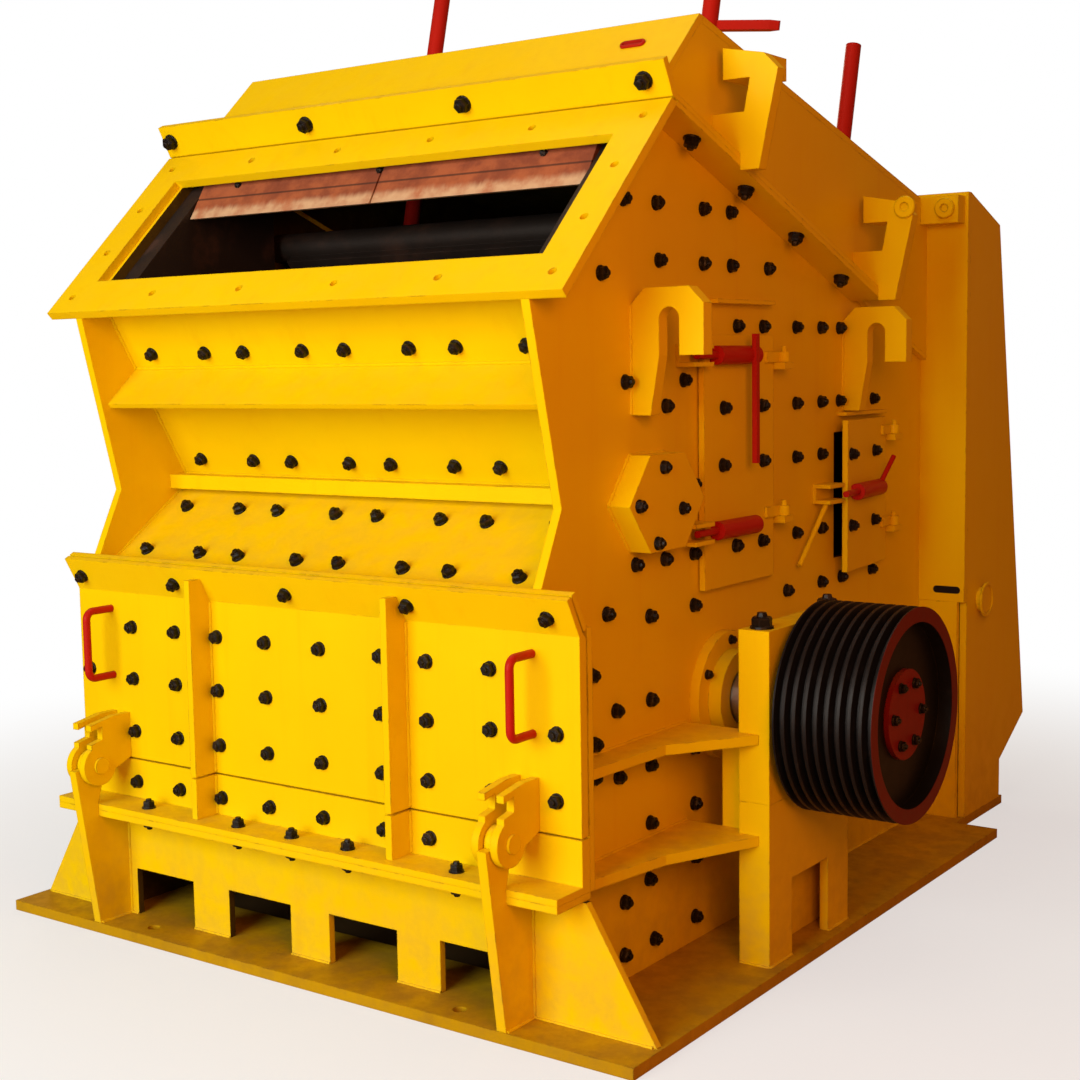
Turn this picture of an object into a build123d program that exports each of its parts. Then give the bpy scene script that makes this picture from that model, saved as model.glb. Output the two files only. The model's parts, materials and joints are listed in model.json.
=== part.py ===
"""Impact crusher: a welded steel housing with a sloped feed inlet, a rotor on a belt pulley,
a bottom-hinged front door and two side inspection doors.

Millimetres. While it is drawn, X = 0 is the middle of the housing, Y = 0 is the outer face of the
front door with +Y towards the rear, and Z = 0 is the underside of the base plate. Pieces are moved
to the plan centre of the whole machine when they are written.
"""

from build123d import *
import math
import os

# Shared sizes
OVERRUN = 10.0
PLATE = 20.0
FLANGE_PLATE = 25.0
MOVING_GAP = 5.0
PIN_GAP = 0.3
FULL_TURN_ANGLE = 360.0
QUARTER_TURN_ANGLE = FULL_TURN_ANGLE / 4

# Housing cross section
HALF_WIDTH = 800.0
WALL = 25.0
FLANGE_REACH = 105.0
INNER_HALF_WIDTH = HALF_WIDTH - WALL
FLANGE_HALF_WIDTH = HALF_WIDTH + FLANGE_REACH
HOUSING_REAR_Y = 2250.0

# Base plate
BASE_REACH = 310.0
BASE_HALF_WIDTH = HALF_WIDTH + BASE_REACH
BASE_FRONT_Y = -120.0
BASE_SHOULDER_Y = 2200.0
BASE_REAR_Y = 2640.0
BASE_PLATE = 30.0
DISCHARGE_MARGIN = 140.0
DISCHARGE_HALF_WIDTH = HALF_WIDTH - DISCHARGE_MARGIN
DISCHARGE_FRONT_Y = 200.0
DISCHARGE_REAR_Y = 1700.0
ANCHOR_X = 560.0
ANCHOR_EDGE = 60.0
ANCHOR_RADIUS = 18.0

# Toothed wall under the front door
TOE_MARGIN = 10.0
TOE_HALF_WIDTH = BASE_HALF_WIDTH - TOE_MARGIN
TOE_NOTCH_WIDTH = 238.0
TOE_NOTCH_TOP_Z = 168.0
TOE_NOTCH_INNER_X = 190.0
TOE_NOTCH_OUTER_X = 572.0

# Ledge and sill below the door
LEDGE_Z = 347.0
LEDGE_PLATE = 18.0
LEDGE_FRONT_Y = -108.0
DOOR_REACH = 96.0
DOOR_HALF_WIDTH = HALF_WIDTH + DOOR_REACH
SEAM_Z = 500.0

# Front door, bent outward along its top
DOOR_PLATE = 28.0
DOOR_TOP_Z = 989.0
LIP_LENGTH = 104.0
LIP_PLATE = 16.0
LIP_ANGLE = 118.0
RIB_X = 354.0
RIB_PLATE = 21.0
RIB_DEPTH = 75.0
RIB_TOP_Z = 1053.0
HANDLE_INSET = 43.0
HANDLE_X = HALF_WIDTH - HANDLE_INSET
HANDLE_LOW_Z = 742.0
HANDLE_HIGH_Z = 938.0
HANDLE_REACH = 92.0
HANDLE_RADIUS = 11.0
HANDLE_BEND = 24.0

# Front door hinges
PIVOT_Y = -115.0
PIVOT_RADIUS = 16.0
PIVOT_HEAD_RADIUS = 24.0
PIVOT_HEAD = 9.0
POST_INSET = 80.0
POST_X = HALF_WIDTH - POST_INSET
POST_PLATE = 28.0
POST_FOOT_Y = -118.0
POST_TOP_FRONT_Y = -185.0
POST_TOP_WIDTH = 50.0
POST_EYE_RADIUS = 40.0
LUG_PLATE = 22.0
LUG_GAP = 3.0
LUG_EYE_RADIUS = 58.0
LUG_TOP_Z = 636.0
LUG_NOTCH_DEPTH = 40.0

# Door frame behind the front door
JAMB_PLATE = 20.0

# Sloped feed inlet flange
INLET_ANGLE = 44.56
INLET_LOW_Y = -64.0
INLET_LOW_Z = 1796.0
INLET_LENGTH = 694.0
INLET_RIM = 129.0
INLET_SEAM = 6.0
INLET_INSET = 12.0
INLET_HALF_OPENING = HALF_WIDTH - INLET_INSET
INLET_HOLE_RADIUS = 11.0
INLET_HOLE_COLUMNS = 6
INLET_HOLE_ROWS = 2

# Folded wall between the inlet and the door
FOLD_Y = 340.0
FOLD_Z = 1290.0
UPPER_PANEL_ANGLE = 119.6
LOWER_PANEL_ANGLE = 34.7
NECK_Y = 73.0
NECK_Z = 1281.0
RAIN_RIB_TOP_Z = 1632.0
RAIN_RIB_EDGE_Y = 33.0
RAIN_RIB_EDGE_Z = 1532.0
RAIN_RIB_PLATE = 16.0
FOLD_BAR_FRONT_Y = 262.0
FOLD_BAR_TOP_Z = 1313.0
FOLD_BAR_LOW_Z = 1271.0

# Roof joint plane and roof box
JOINT_ANGLE = 20.0
JOINT_PLATE = 15.0
JOINT_REAR_Y = 1690.0
ROOF_INSET = 85.0
ROOF_HALF_WIDTH = FLANGE_HALF_WIDTH - ROOF_INSET
ROOF_LIP_ANGLE = 118.0
ROOF_LIP_LENGTH = 95.0
ROOF_LIP_PLATE = 20.0
ROOF_FRONT_ANGLE = 43.7
ROOF_FRONT_SETBACK = 20.0
ROOF_TOP_Y = 713.0
ROOF_ANGLE = 14.2

# Liners and curtain inside the inlet
LINER_PLATE = 60.0
LINER_REAR_Y = 680.0
LINER_LOW_Z = 1330.0
LINER_INSET = 30.0
CURTAIN_LOW_Y = 322.0
CURTAIN_LOW_Z = 2075.0
CURTAIN_TOP_Z = 2185.0
CURTAIN_LEAN = 66.0
CURTAIN_PLATE = 25.0
CURTAIN_SPLIT = 6.0
CURTAIN_BAR = 38.0
CURTAIN_BAR_HEIGHT = 28.0

# Lifting hooks on the side walls
HOOK_FRONT_Y = 410.0
HOOK_REAR_Y = 1650.0
HOOK_PLATE = 42.0
HOOK_FRONT_TOP_Z = 1815.0
HOOK_REAR_TOP_Z = 1788.0
HOOK_HEIGHT = 320.0
HOOK_REACH = 212.0
HOOK_SLOT_WIDTH = 58.0
HOOK_SLOT_X = 84.0
HOOK_SLOT_TOP = 50.0
HOOK_TIP = 170.0
HOOK_CHAMFER = 42.0
HOOK_FOOT_WIDTH = 58.0

# Lifting hooks on the roof
ROOF_HOOK_FRONT_Y = 774.0
ROOF_HOOK_REAR_Y = 1660.0
ROOF_HOOK_PLATE = 40.0
ROOF_HOOK_BACK = 90.0
ROOF_HOOK_DROP = 27.0
ROOF_HOOK_HEIGHT = 321.0
ROOF_HOOK_STEM = 56.0
ROOF_HOOK_REACH = 112.0
ROOF_HOOK_SHOULDER = 67.0
ROOF_HOOK_NOSE = 42.0
ROOF_HOOK_NOSE_DROP = 24.0
ROOF_HOOK_TIP_GAP = 34.0
ROOF_HOOK_ARM = 83.0
ROOF_HOOK_THROAT = 29.0
ROOF_HOOK_ROOT = 151.0
ROOF_HOOK_ROOT_REACH = 12.0

# Hexagonal pivot covers
COVER_Y = 460.0
COVER_Z = 1271.0
COVER_HALF_LENGTH = 185.0
COVER_HALF_HEIGHT = 124.0
COVER_FLAT_SHARE = 0.46
COVER_RAISE = 65.0

# Bearings and pedestals
PEDESTAL_REACH = 185.0
PEDESTAL_WIDTH = 90.0
PEDESTAL_INNER_X = HALF_WIDTH + PEDESTAL_REACH
PEDESTAL_OUTER_X = PEDESTAL_INNER_X + PEDESTAL_WIDTH
PEDESTAL_FRONT_Y = 610.0
PEDESTAL_TOP_Z = 470.0
PEDESTAL_WINDOW_WIDTH = 220.0
PEDESTAL_WINDOW_TOP_Z = 242.0
PEDESTAL_WEB_SETBACK = 40.0
PEDESTAL_WEB_WIDTH = 72.0
BEARING_TOP_Z = 930.0
BEARING_CAP_RADIUS = 165.0
BEARING_CAP = 30.0
BEARING_OUTER_CAP = 20.0
SEAL_RADIUS = 180.0
SEAL_PLATE = 30.0
SEAL_HUB_RADIUS = 130.0
SEAL_HUB = 70.0

# Rotor, shaft and belt pulley
ROTOR_Y = 850.0
ROTOR_Z = 700.0
ROTOR_RADIUS = 625.0
ROTOR_DISC_RADIUS = 540.0
ROTOR_END_GAP = 85.0
ROTOR_HALF_LENGTH = INNER_HALF_WIDTH - ROTOR_END_GAP
ROTOR_DISC = 60.0
ROTOR_DISC_COUNT = 5
ROTOR_TUBE_RADIUS = 230.0
BLOW_BAR_COUNT = 4
BLOW_BAR_THICK = 70.0
BLOW_BAR_DEPTH = 180.0
SHAFT_RADIUS = 75.0
PULLEY_STANDOFF = 30.0
PULLEY_INNER_X = PEDESTAL_OUTER_X + PULLEY_STANDOFF
PULLEY_WIDTH = 275.0
PULLEY_RADIUS = 285.0
PULLEY_GROOVES = 9
PULLEY_GROOVE_DEPTH = 24.0
PULLEY_LAND_SHARE = 0.3
PULLEY_DISH = 40.0
PULLEY_RIM = 40.0
HUB_RADIUS = 120.0
HUB_PROUD = 14.0

# Horizontal gussets from the door frame to the pedestals
GUSSET_PLATE = 27.0
GUSSET_UPPER_TOP_Z = 655.0
GUSSET_LOWER_TOP_Z = 383.0
GUSSET_START = 80.0
GUSSET_UPPER_KNEE = 97.0
GUSSET_UPPER_KNEE_Y = 383.0
GUSSET_LOWER_KNEE = 124.0
GUSSET_LOWER_KNEE_Y = 336.0
GUSSET_END = 245.0

# Rear housing
REAR_REACH = 165.0
REAR_HALF_WIDTH = HALF_WIDTH + REAR_REACH
REAR_TOP_Z = 2179.0
REAR_TOP_DEPTH = 299.0
REAR_TOP_DROP = 94.0
REAR_TOE_DEPTH = 605.0
REAR_TOE_Z = 301.0
REAR_FOOT_DEPTH = 361.0
REAR_FOOT_Z = 169.0
PORTAL_LEG_LOW_Z = 790.0
PORTAL_HEAD_Z = 2000.0
REAR_PIVOT_DEPTH = 150.0
REAR_PIVOT_Z = 785.0
REAR_PIVOT_RADIUS = 42.0
REAR_PIVOT_PROUD = 22.0
LATCH_MARGIN = 12.0
LATCH_LOW_Z = 2075.0
LATCH_HEIGHT = 90.0
LATCH_DEPTH = 60.0

# Impact aprons and their adjusting rods
APRON_PLATE = 70.0
APRON_END_GAP = 85.0
APRON_HALF_WIDTH = INNER_HALF_WIDTH - APRON_END_GAP
APRON_SHAFT_RADIUS = 45.0
FRONT_APRON_SHAFT_Y = 760.0
FRONT_APRON_SHAFT_Z = 2010.0
FRONT_APRON_KNEE_Y = 1090.0
FRONT_APRON_KNEE_Z = 1640.0
FRONT_APRON_TIP_Y = 1330.0
FRONT_APRON_TIP_Z = 1300.0
REAR_APRON_SHAFT_Y = 1690.0
REAR_APRON_SHAFT_Z = 1690.0
REAR_APRON_KNEE_Y = 1740.0
REAR_APRON_KNEE_Z = 1250.0
REAR_APRON_TIP_Y = 1600.0
REAR_APRON_TIP_Z = 770.0
FRONT_ROD_X = 530.0
FRONT_ROD_Y = 1217.0
REAR_ROD_X = 580.0
REAR_ROD_Y = 2052.0
ROD_RADIUS = 26.0
ROD_LUG = 80.0
NUT_SIDES = 6
FRONT_ROD_DEPTH = 640.0
REAR_ROD_DEPTH = 690.0
ROD_RISE = 508.0
ROD_SEAT = 110.0
ROD_SEAT_HEIGHT = 46.0
ROD_ARM_ANGLE = 17.0
ROD_ARM_LENGTH = 215.0
ROD_ARM_RISE = 207.0
ROD_ARM_HEIGHT = 30.0
ROD_ARM_PLATE = 16.0

# Inspection doors on the right side wall
INSPECTION_PLATE = 18.0
INSPECTION_OVERLAP = 38.0
FRONT_HATCH_FRONT_Y = 720.0
FRONT_HATCH_REAR_Y = 1120.0
FRONT_HATCH_LOW_Z = 1006.0
FRONT_HATCH_TOP_Z = 1700.0
REAR_HATCH_FRONT_Y = 1530.0
REAR_HATCH_REAR_Y = 1905.0
REAR_HATCH_LOW_Z = 970.0
REAR_HATCH_TOP_Z = 1440.0
REAR_HATCH_AJAR_ANGLE = 6.0
HATCH_HINGE_SETBACK = 34.0
HATCH_KNUCKLE_RADIUS = 17.0
HATCH_KNUCKLE = 30.0
HATCH_PIN_RADIUS = 8.0
HATCH_STRAP_LENGTH = 90.0
HATCH_STRAP_PLATE = 10.0
HATCH_BRACKET_WIDTH = 56.0
HATCH_BRACKET = 20.0
HATCH_HINGE_SHARES = (0.27, 0.91)
FRONT_CLAMP_SHARES = (0.235, 0.92)
REAR_CLAMP_SHARE = 0.53
CLAMP_RADIUS = 26.0
CLAMP_AXIS = 20.0
CLAMP_START = 31.0
CLAMP_LENGTH = 222.0
CLAMP_TONGUE = 75.0
CLAMP_TONGUE_RADIUS = 10.0
CLAMP_LEVER = 16.0
CLAMP_LEVER_SETBACK = 207.0
CLAMP_LEVER_DROP = 300.0
CLAMP_LEVER_RISE = 58.0
CLAMP_BRACKET_LENGTH = 100.0
CLAMP_BRACKET_REACH = 60.0
CLAMP_BRACKET_PLATE = 12.0
CLAMP_BRACKET_GAP = 36.0
STRIP_INSET = 65.0
STRIP_REACH = 30.0
STRIP_PLATE = 12.0
FRONT_STRIP_Z = 1785.0
REAR_STRIP_Z = 1452.0

# Places worked out from the sizes above
PULLEY_OUTER_X = PULLEY_INNER_X + PULLEY_WIDTH
PEDESTAL_REAR_Y = 2 * ROTOR_Y - PEDESTAL_FRONT_Y
SILL_LOW_Z = LEDGE_Z + LEDGE_PLATE
DOOR_BACK_Y = DOOR_PLATE + MOVING_GAP
CENTRE_X = (PULLEY_OUTER_X - BASE_HALF_WIDTH) / 2
CENTRE_Y = (POST_TOP_FRONT_Y + HOUSING_REAR_Y + REAR_TOE_DEPTH) / 2


def heading(angle):
    """Unit step in the YZ plane at an angle above +Y."""
    return (math.cos(math.radians(angle)), math.sin(math.radians(angle)))


def step(point, way, distance):
    """Point reached from a point by a distance along a unit step."""
    return (point[0] + way[0] * distance, point[1] + way[1] * distance)


def toward(first, second):
    """Unit step from one point to another."""
    length = math.dist(first, second)
    return ((second[0] - first[0]) / length, (second[1] - first[1]) / length)


def meet(point_a, way_a, point_b, way_b):
    """Crossing of two lines, each given by a point and a unit step."""
    gap = (point_b[0] - point_a[0], point_b[1] - point_a[1])
    cross = way_a[0] * way_b[1] - way_a[1] * way_b[0]
    return step(point_a, way_a, (gap[0] * way_b[1] - gap[1] * way_b[0]) / cross)


def slab_x(points, low, high):
    """Outline in Y and Z, given thickness along X."""
    face = make_face(Polyline(*points, close=True))
    return extrude(Plane.YZ.offset(low) * face, high - low, dir=(1, 0, 0))


def slab_y(points, low, high):
    """Outline in X and Z, given thickness along Y."""
    plane = Plane(origin=(0, low, 0), x_dir=(1, 0, 0), z_dir=(0, -1, 0))
    return extrude(plane * make_face(Polyline(*points, close=True)), high - low, dir=(0, 1, 0))


def slab_z(points, low, high):
    """Outline in X and Y, given thickness along Z."""
    face = make_face(Polyline(*points, close=True))
    return extrude(Plane.XY.offset(low) * face, high - low, dir=(0, 0, 1))


def block(low, high):
    """Box between two opposite corners."""
    sizes = [b - a for a, b in zip(low, high)]
    return Pos(*low) * Box(*sizes, align=(Align.MIN, Align.MIN, Align.MIN))


def rod_x(y, z, radius, low, high):
    """Round bar along X."""
    return extrude(Plane.YZ.offset(low) * Pos(y, z) * Circle(radius), high - low, dir=(1, 0, 0))


def rod_y(x, z, radius, low, high):
    """Round bar along Y."""
    plane = Plane(origin=(x, low, z), x_dir=(1, 0, 0), z_dir=(0, -1, 0))
    return extrude(plane * Circle(radius), high - low, dir=(0, 1, 0))


def rod_z(x, y, radius, low, high):
    """Round bar along Z."""
    return extrude(Plane.XY.offset(low) * Pos(x, y) * Circle(radius), high - low, dir=(0, 0, 1))


def other_side(shape):
    """The same piece on the opposite side of the housing."""
    return mirror(shape, about=Plane.YZ)


# Lines that several pieces share, each a point and a unit step in Y and Z
INLET_UP = heading(INLET_ANGLE)
INLET_IN = heading(INLET_ANGLE - QUARTER_TURN_ANGLE)
INLET_LOW = (INLET_LOW_Y, INLET_LOW_Z)
INLET_TOP = step(INLET_LOW, INLET_UP, INLET_LENGTH)
INLET_BACK = step(INLET_LOW, INLET_IN, FLANGE_PLATE)
JOINT_BACK = heading(-JOINT_ANGLE)
JOINT_UP = heading(QUARTER_TURN_ANGLE - JOINT_ANGLE)
JOINT_CORNER = meet(INLET_BACK, INLET_UP, INLET_TOP, JOINT_BACK)
JOINT_TOP = step(INLET_TOP, JOINT_UP, JOINT_PLATE)
LIP_UP = heading(LIP_ANGLE)
LIP_IN = heading(LIP_ANGLE - QUARTER_TURN_ANGLE)
LIP_ROOT = (0, DOOR_TOP_Z)
FIXED_LIP_FRONT = step(LIP_ROOT, LIP_IN, LIP_PLATE + MOVING_GAP)
FIXED_LIP_BACK = step(FIXED_LIP_FRONT, LIP_IN, LIP_PLATE)
FOLD = (FOLD_Y, FOLD_Z)
UPPER_PANEL = heading(UPPER_PANEL_ANGLE)
UPPER_PANEL_IN = heading(UPPER_PANEL_ANGLE - QUARTER_TURN_ANGLE)
LOWER_PANEL = heading(LOWER_PANEL_ANGLE)
LOWER_PANEL_IN = heading(LOWER_PANEL_ANGLE - QUARTER_TURN_ANGLE)
LEVEL = (1, 0)
UPRIGHT = (0, 1)
REAR_LINE = (HOUSING_REAR_Y, 0)
ROOF_LIP_UP = heading(ROOF_LIP_ANGLE)
ROOF_LIP_IN = heading(ROOF_LIP_ANGLE - QUARTER_TURN_ANGLE)
ROOF_BACK = heading(-ROOF_ANGLE)
ROOF_UP = heading(QUARTER_TURN_ANGLE - ROOF_ANGLE)
ROOF_UNDER = heading(-ROOF_ANGLE - QUARTER_TURN_ANGLE)
ROOF_FRONT_UP = heading(ROOF_FRONT_ANGLE)
ROOF_FRONT_IN = heading(ROOF_FRONT_ANGLE - QUARTER_TURN_ANGLE)
ROOF_FRONT_FOOT = step(JOINT_TOP, JOINT_BACK, ROOF_FRONT_SETBACK)
ROOF_TOP = meet(ROOF_FRONT_FOOT, ROOF_FRONT_UP, (ROOF_TOP_Y, 0), UPRIGHT)


def joint_height(y):
    """Height of the roof joint plane at a depth."""
    return meet(INLET_TOP, JOINT_BACK, (y, 0), UPRIGHT)[1]


def roof_height(y):
    """Height of the roof plate's upper face at a depth."""
    return meet(ROOF_TOP, ROOF_BACK, (y, 0), UPRIGHT)[1]


def base_plate():
    """Base, narrower at the rear, with the discharge opening and four anchor holes."""
    outline = [
        (-BASE_HALF_WIDTH, BASE_FRONT_Y),
        (BASE_HALF_WIDTH, BASE_FRONT_Y),
        (BASE_HALF_WIDTH, BASE_SHOULDER_Y),
        (REAR_HALF_WIDTH, BASE_SHOULDER_Y),
        (REAR_HALF_WIDTH, BASE_REAR_Y),
        (-REAR_HALF_WIDTH, BASE_REAR_Y),
        (-REAR_HALF_WIDTH, BASE_SHOULDER_Y),
        (-BASE_HALF_WIDTH, BASE_SHOULDER_Y),
    ]
    plate = slab_z(outline, 0, BASE_PLATE)
    plate -= block(
        (-DISCHARGE_HALF_WIDTH, DISCHARGE_FRONT_Y, -OVERRUN),
        (DISCHARGE_HALF_WIDTH, DISCHARGE_REAR_Y, BASE_PLATE + OVERRUN),
    )
    for x in (-ANCHOR_X, ANCHOR_X):
        for y in (BASE_FRONT_Y + ANCHOR_EDGE, BASE_REAR_Y - ANCHOR_EDGE):
            plate -= rod_z(x, y, ANCHOR_RADIUS, -OVERRUN, BASE_PLATE + OVERRUN)
    return plate


def lower_front_wall():
    """Front wall under the ledge, flared to the base corners and notched along its foot."""
    outline = [
        (-TOE_HALF_WIDTH, BASE_PLATE),
        (TOE_HALF_WIDTH, BASE_PLATE),
        (FLANGE_HALF_WIDTH, LEDGE_Z),
        (-FLANGE_HALF_WIDTH, LEDGE_Z),
    ]
    wall = slab_y(outline, 0, PLATE)
    for x in (-TOE_NOTCH_OUTER_X, -TOE_NOTCH_INNER_X, TOE_NOTCH_INNER_X, TOE_NOTCH_OUTER_X):
        wall -= block(
            (x - TOE_NOTCH_WIDTH / 2, -OVERRUN, BASE_PLATE - OVERRUN),
            (x + TOE_NOTCH_WIDTH / 2, PLATE + OVERRUN, TOE_NOTCH_TOP_Z),
        )
    return wall


def front_ledge():
    """Flange along the top of the lower front wall."""
    return block((-DOOR_HALF_WIDTH, LEDGE_FRONT_Y, LEDGE_Z), (DOOR_HALF_WIDTH, DOOR_BACK_Y, SILL_LOW_Z))


def rib(x, low, top_points):
    """Upright stiffening rib on the front face of the door or the sill."""
    outline = [(-RIB_DEPTH, low), (0, low)] + top_points
    return slab_x(outline, x - RIB_PLATE / 2, x + RIB_PLATE / 2)


def sill_panel():
    """Fixed strip under the door: a flange bolted to the ledge, a plate and two rib feet."""
    flange_top = SILL_LOW_Z + LEDGE_PLATE
    top = SEAM_Z - MOVING_GAP / 2
    outline = [
        (LEDGE_FRONT_Y, SILL_LOW_Z),
        (DOOR_BACK_Y, SILL_LOW_Z),
        (DOOR_BACK_Y, top),
        (0, top),
        (0, flange_top),
        (LEDGE_FRONT_Y, flange_top),
    ]
    panel = slab_x(outline, -DOOR_HALF_WIDTH, DOOR_HALF_WIDTH)
    for x in (-RIB_X, RIB_X):
        panel += rib(x, flange_top, [(0, top), (-RIB_DEPTH, top)])
    return panel


def hinge_post(x):
    """Leaning plate from the base up to the door pivot."""
    flange_top = SILL_LOW_Z + LEDGE_PLATE
    top = SEAM_Z - PIVOT_RADIUS / 2
    outline = [
        (POST_FOOT_Y, BASE_PLATE),
        (POST_TOP_FRONT_Y, top),
        (POST_TOP_FRONT_Y + POST_TOP_WIDTH, top),
        (PIVOT_Y + POST_EYE_RADIUS, SEAM_Z),
        (LEDGE_FRONT_Y, flange_top),
        (LEDGE_FRONT_Y, LEDGE_Z),
        (0, LEDGE_Z),
        (0, BASE_PLATE),
    ]
    post = slab_x(outline, x, x + POST_PLATE)
    post += rod_x(PIVOT_Y, SEAM_Z, POST_EYE_RADIUS, x, x + POST_PLATE)
    return post - rod_x(PIVOT_Y, SEAM_Z, PIVOT_RADIUS + PIN_GAP, x - OVERRUN, x + POST_PLATE + OVERRUN)


def hinge_pin(x):
    """Headed pin through a post and the two door lugs beside it."""
    low = x - LUG_GAP - LUG_PLATE - PIN_GAP
    high = x + POST_PLATE + LUG_GAP + LUG_PLATE + PIN_GAP
    pin = rod_x(PIVOT_Y, SEAM_Z, PIVOT_RADIUS, low, high)
    pin += rod_x(PIVOT_Y, SEAM_Z, PIVOT_HEAD_RADIUS, low - PIVOT_HEAD, low)
    return pin + rod_x(PIVOT_Y, SEAM_Z, PIVOT_HEAD_RADIUS, high, high + PIVOT_HEAD)


def post_places():
    """Inner X of the left and the right hinge post."""
    return (-POST_X - POST_PLATE, POST_X)


def door_panel():
    """Front door plate, bent outward into a lip along its top."""
    low = SEAM_Z + MOVING_GAP / 2
    tip = step(LIP_ROOT, LIP_UP, LIP_LENGTH)
    outline = [
        (0, low),
        (DOOR_PLATE, low),
        (DOOR_PLATE, DOOR_TOP_Z - LIP_PLATE / 2),
        step(LIP_ROOT, LIP_IN, LIP_PLATE),
        step(tip, LIP_IN, LIP_PLATE),
        tip,
        LIP_ROOT,
    ]
    return slab_x(outline, -DOOR_HALF_WIDTH, DOOR_HALF_WIDTH)


def door_ribs():
    """Two ribs that stiffen the door up to its lip."""
    low = SEAM_Z + MOVING_GAP / 2
    lip_point = meet(LIP_ROOT, LIP_UP, (0, RIB_TOP_Z), LEVEL)
    top = [LIP_ROOT, lip_point, (-RIB_DEPTH, RIB_TOP_Z)]
    return rib(-RIB_X, low, top) + rib(RIB_X, low, top)


def door_lug(x):
    """Hooked hinge lug standing out from the door beside a post."""
    root_z = SEAM_Z + MOVING_GAP
    nose = PIVOT_Y - LUG_EYE_RADIUS / 2
    notch_low = SEAM_Z + LUG_EYE_RADIUS + PIVOT_RADIUS
    notch_top = LUG_TOP_Z - PIVOT_HEAD_RADIUS
    outline = [
        (0, root_z),
        (PIVOT_Y + LUG_EYE_RADIUS / 2, SEAM_Z - LUG_EYE_RADIUS / 2),
        (PIVOT_Y - LUG_EYE_RADIUS / 2, SEAM_Z),
        (nose, notch_low - PIVOT_HEAD),
        (nose + LUG_NOTCH_DEPTH, notch_low),
        (nose + LUG_NOTCH_DEPTH, notch_top),
        (nose, notch_top - PIVOT_HEAD),
        (nose, notch_top + PIVOT_HEAD),
        (PIVOT_Y / 2, LUG_TOP_Z),
        (0, LUG_TOP_Z),
    ]
    lug = slab_x(outline, x, x + LUG_PLATE)
    lug += rod_x(PIVOT_Y, SEAM_Z, LUG_EYE_RADIUS, x, x + LUG_PLATE)
    return lug - rod_x(PIVOT_Y, SEAM_Z, PIVOT_RADIUS + PIN_GAP, x - OVERRUN, x + LUG_PLATE + OVERRUN)


def door_lugs():
    """A pair of lugs beside each hinge post."""
    places = []
    for x in post_places():
        places += [x - LUG_GAP - LUG_PLATE, x + POST_PLATE + LUG_GAP]
    lugs = door_lug(places[0])
    for x in places[1:]:
        lugs += door_lug(x)
    return lugs


def door_handle(x):
    """Bent round bar welded to the door."""
    path = FilletPolyline(
        (x, 0, HANDLE_LOW_Z),
        (x, -HANDLE_REACH, HANDLE_LOW_Z),
        (x, -HANDLE_REACH, HANDLE_HIGH_Z),
        (x, 0, HANDLE_HIGH_Z),
        radius=HANDLE_BEND,
    )
    return sweep(Plane(origin=(x, 0, HANDLE_LOW_Z), z_dir=(0, -1, 0)) * Circle(HANDLE_RADIUS), path)


def jamb():
    """Upright strip that frames the front door on the right."""
    top = FIXED_LIP_BACK[1]
    return block((HALF_WIDTH, DOOR_BACK_Y, SILL_LOW_Z), (DOOR_HALF_WIDTH, DOOR_BACK_Y + JAMB_PLATE, top))


def lip_flange():
    """Fixed flange behind the door's lip."""
    outline = [
        FIXED_LIP_FRONT,
        step(FIXED_LIP_FRONT, LIP_UP, LIP_LENGTH),
        step(FIXED_LIP_BACK, LIP_UP, LIP_LENGTH),
        FIXED_LIP_BACK,
    ]
    return slab_x(outline, -DOOR_HALF_WIDTH, DOOR_HALF_WIDTH)


def side_wall():
    """Right side wall from the base to the roof joint."""
    outline = [
        (PLATE, BASE_PLATE),
        (PLATE, LEDGE_Z),
        (DOOR_BACK_Y, LEDGE_Z),
        (DOOR_BACK_Y, FIXED_LIP_BACK[1]),
        FIXED_LIP_BACK,
        step(FIXED_LIP_BACK, LIP_UP, LIP_LENGTH),
        (NECK_Y, NECK_Z),
        INLET_BACK,
        JOINT_CORNER,
        (HOUSING_REAR_Y, joint_height(HOUSING_REAR_Y)),
        (HOUSING_REAR_Y, BASE_PLATE),
    ]
    wall = slab_x(outline, INNER_HALF_WIDTH, HALF_WIDTH)
    return wall - shaft_hole(INNER_HALF_WIDTH, HALF_WIDTH)


def shaft_hole(low, high):
    """Cut that clears the rotor shaft through a wall."""
    return rod_x(ROTOR_Y, ROTOR_Z, SHAFT_RADIUS + MOVING_GAP, low - OVERRUN, high + OVERRUN)


def hatch_opening(front, rear, low, top):
    """Cut in the right side wall behind an inspection door."""
    return block(
        (INNER_HALF_WIDTH - OVERRUN, front + INSPECTION_OVERLAP, low + INSPECTION_OVERLAP),
        (HALF_WIDTH + OVERRUN, rear - INSPECTION_OVERLAP, top - INSPECTION_OVERLAP),
    )


FRONT_HATCH = (FRONT_HATCH_FRONT_Y, FRONT_HATCH_REAR_Y, FRONT_HATCH_LOW_Z, FRONT_HATCH_TOP_Z)
REAR_HATCH = (REAR_HATCH_FRONT_Y, REAR_HATCH_REAR_Y, REAR_HATCH_LOW_Z, REAR_HATCH_TOP_Z)


def right_side_wall():
    """Right side wall with the two inspection openings."""
    return side_wall() - hatch_opening(*FRONT_HATCH) - hatch_opening(*REAR_HATCH)


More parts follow.
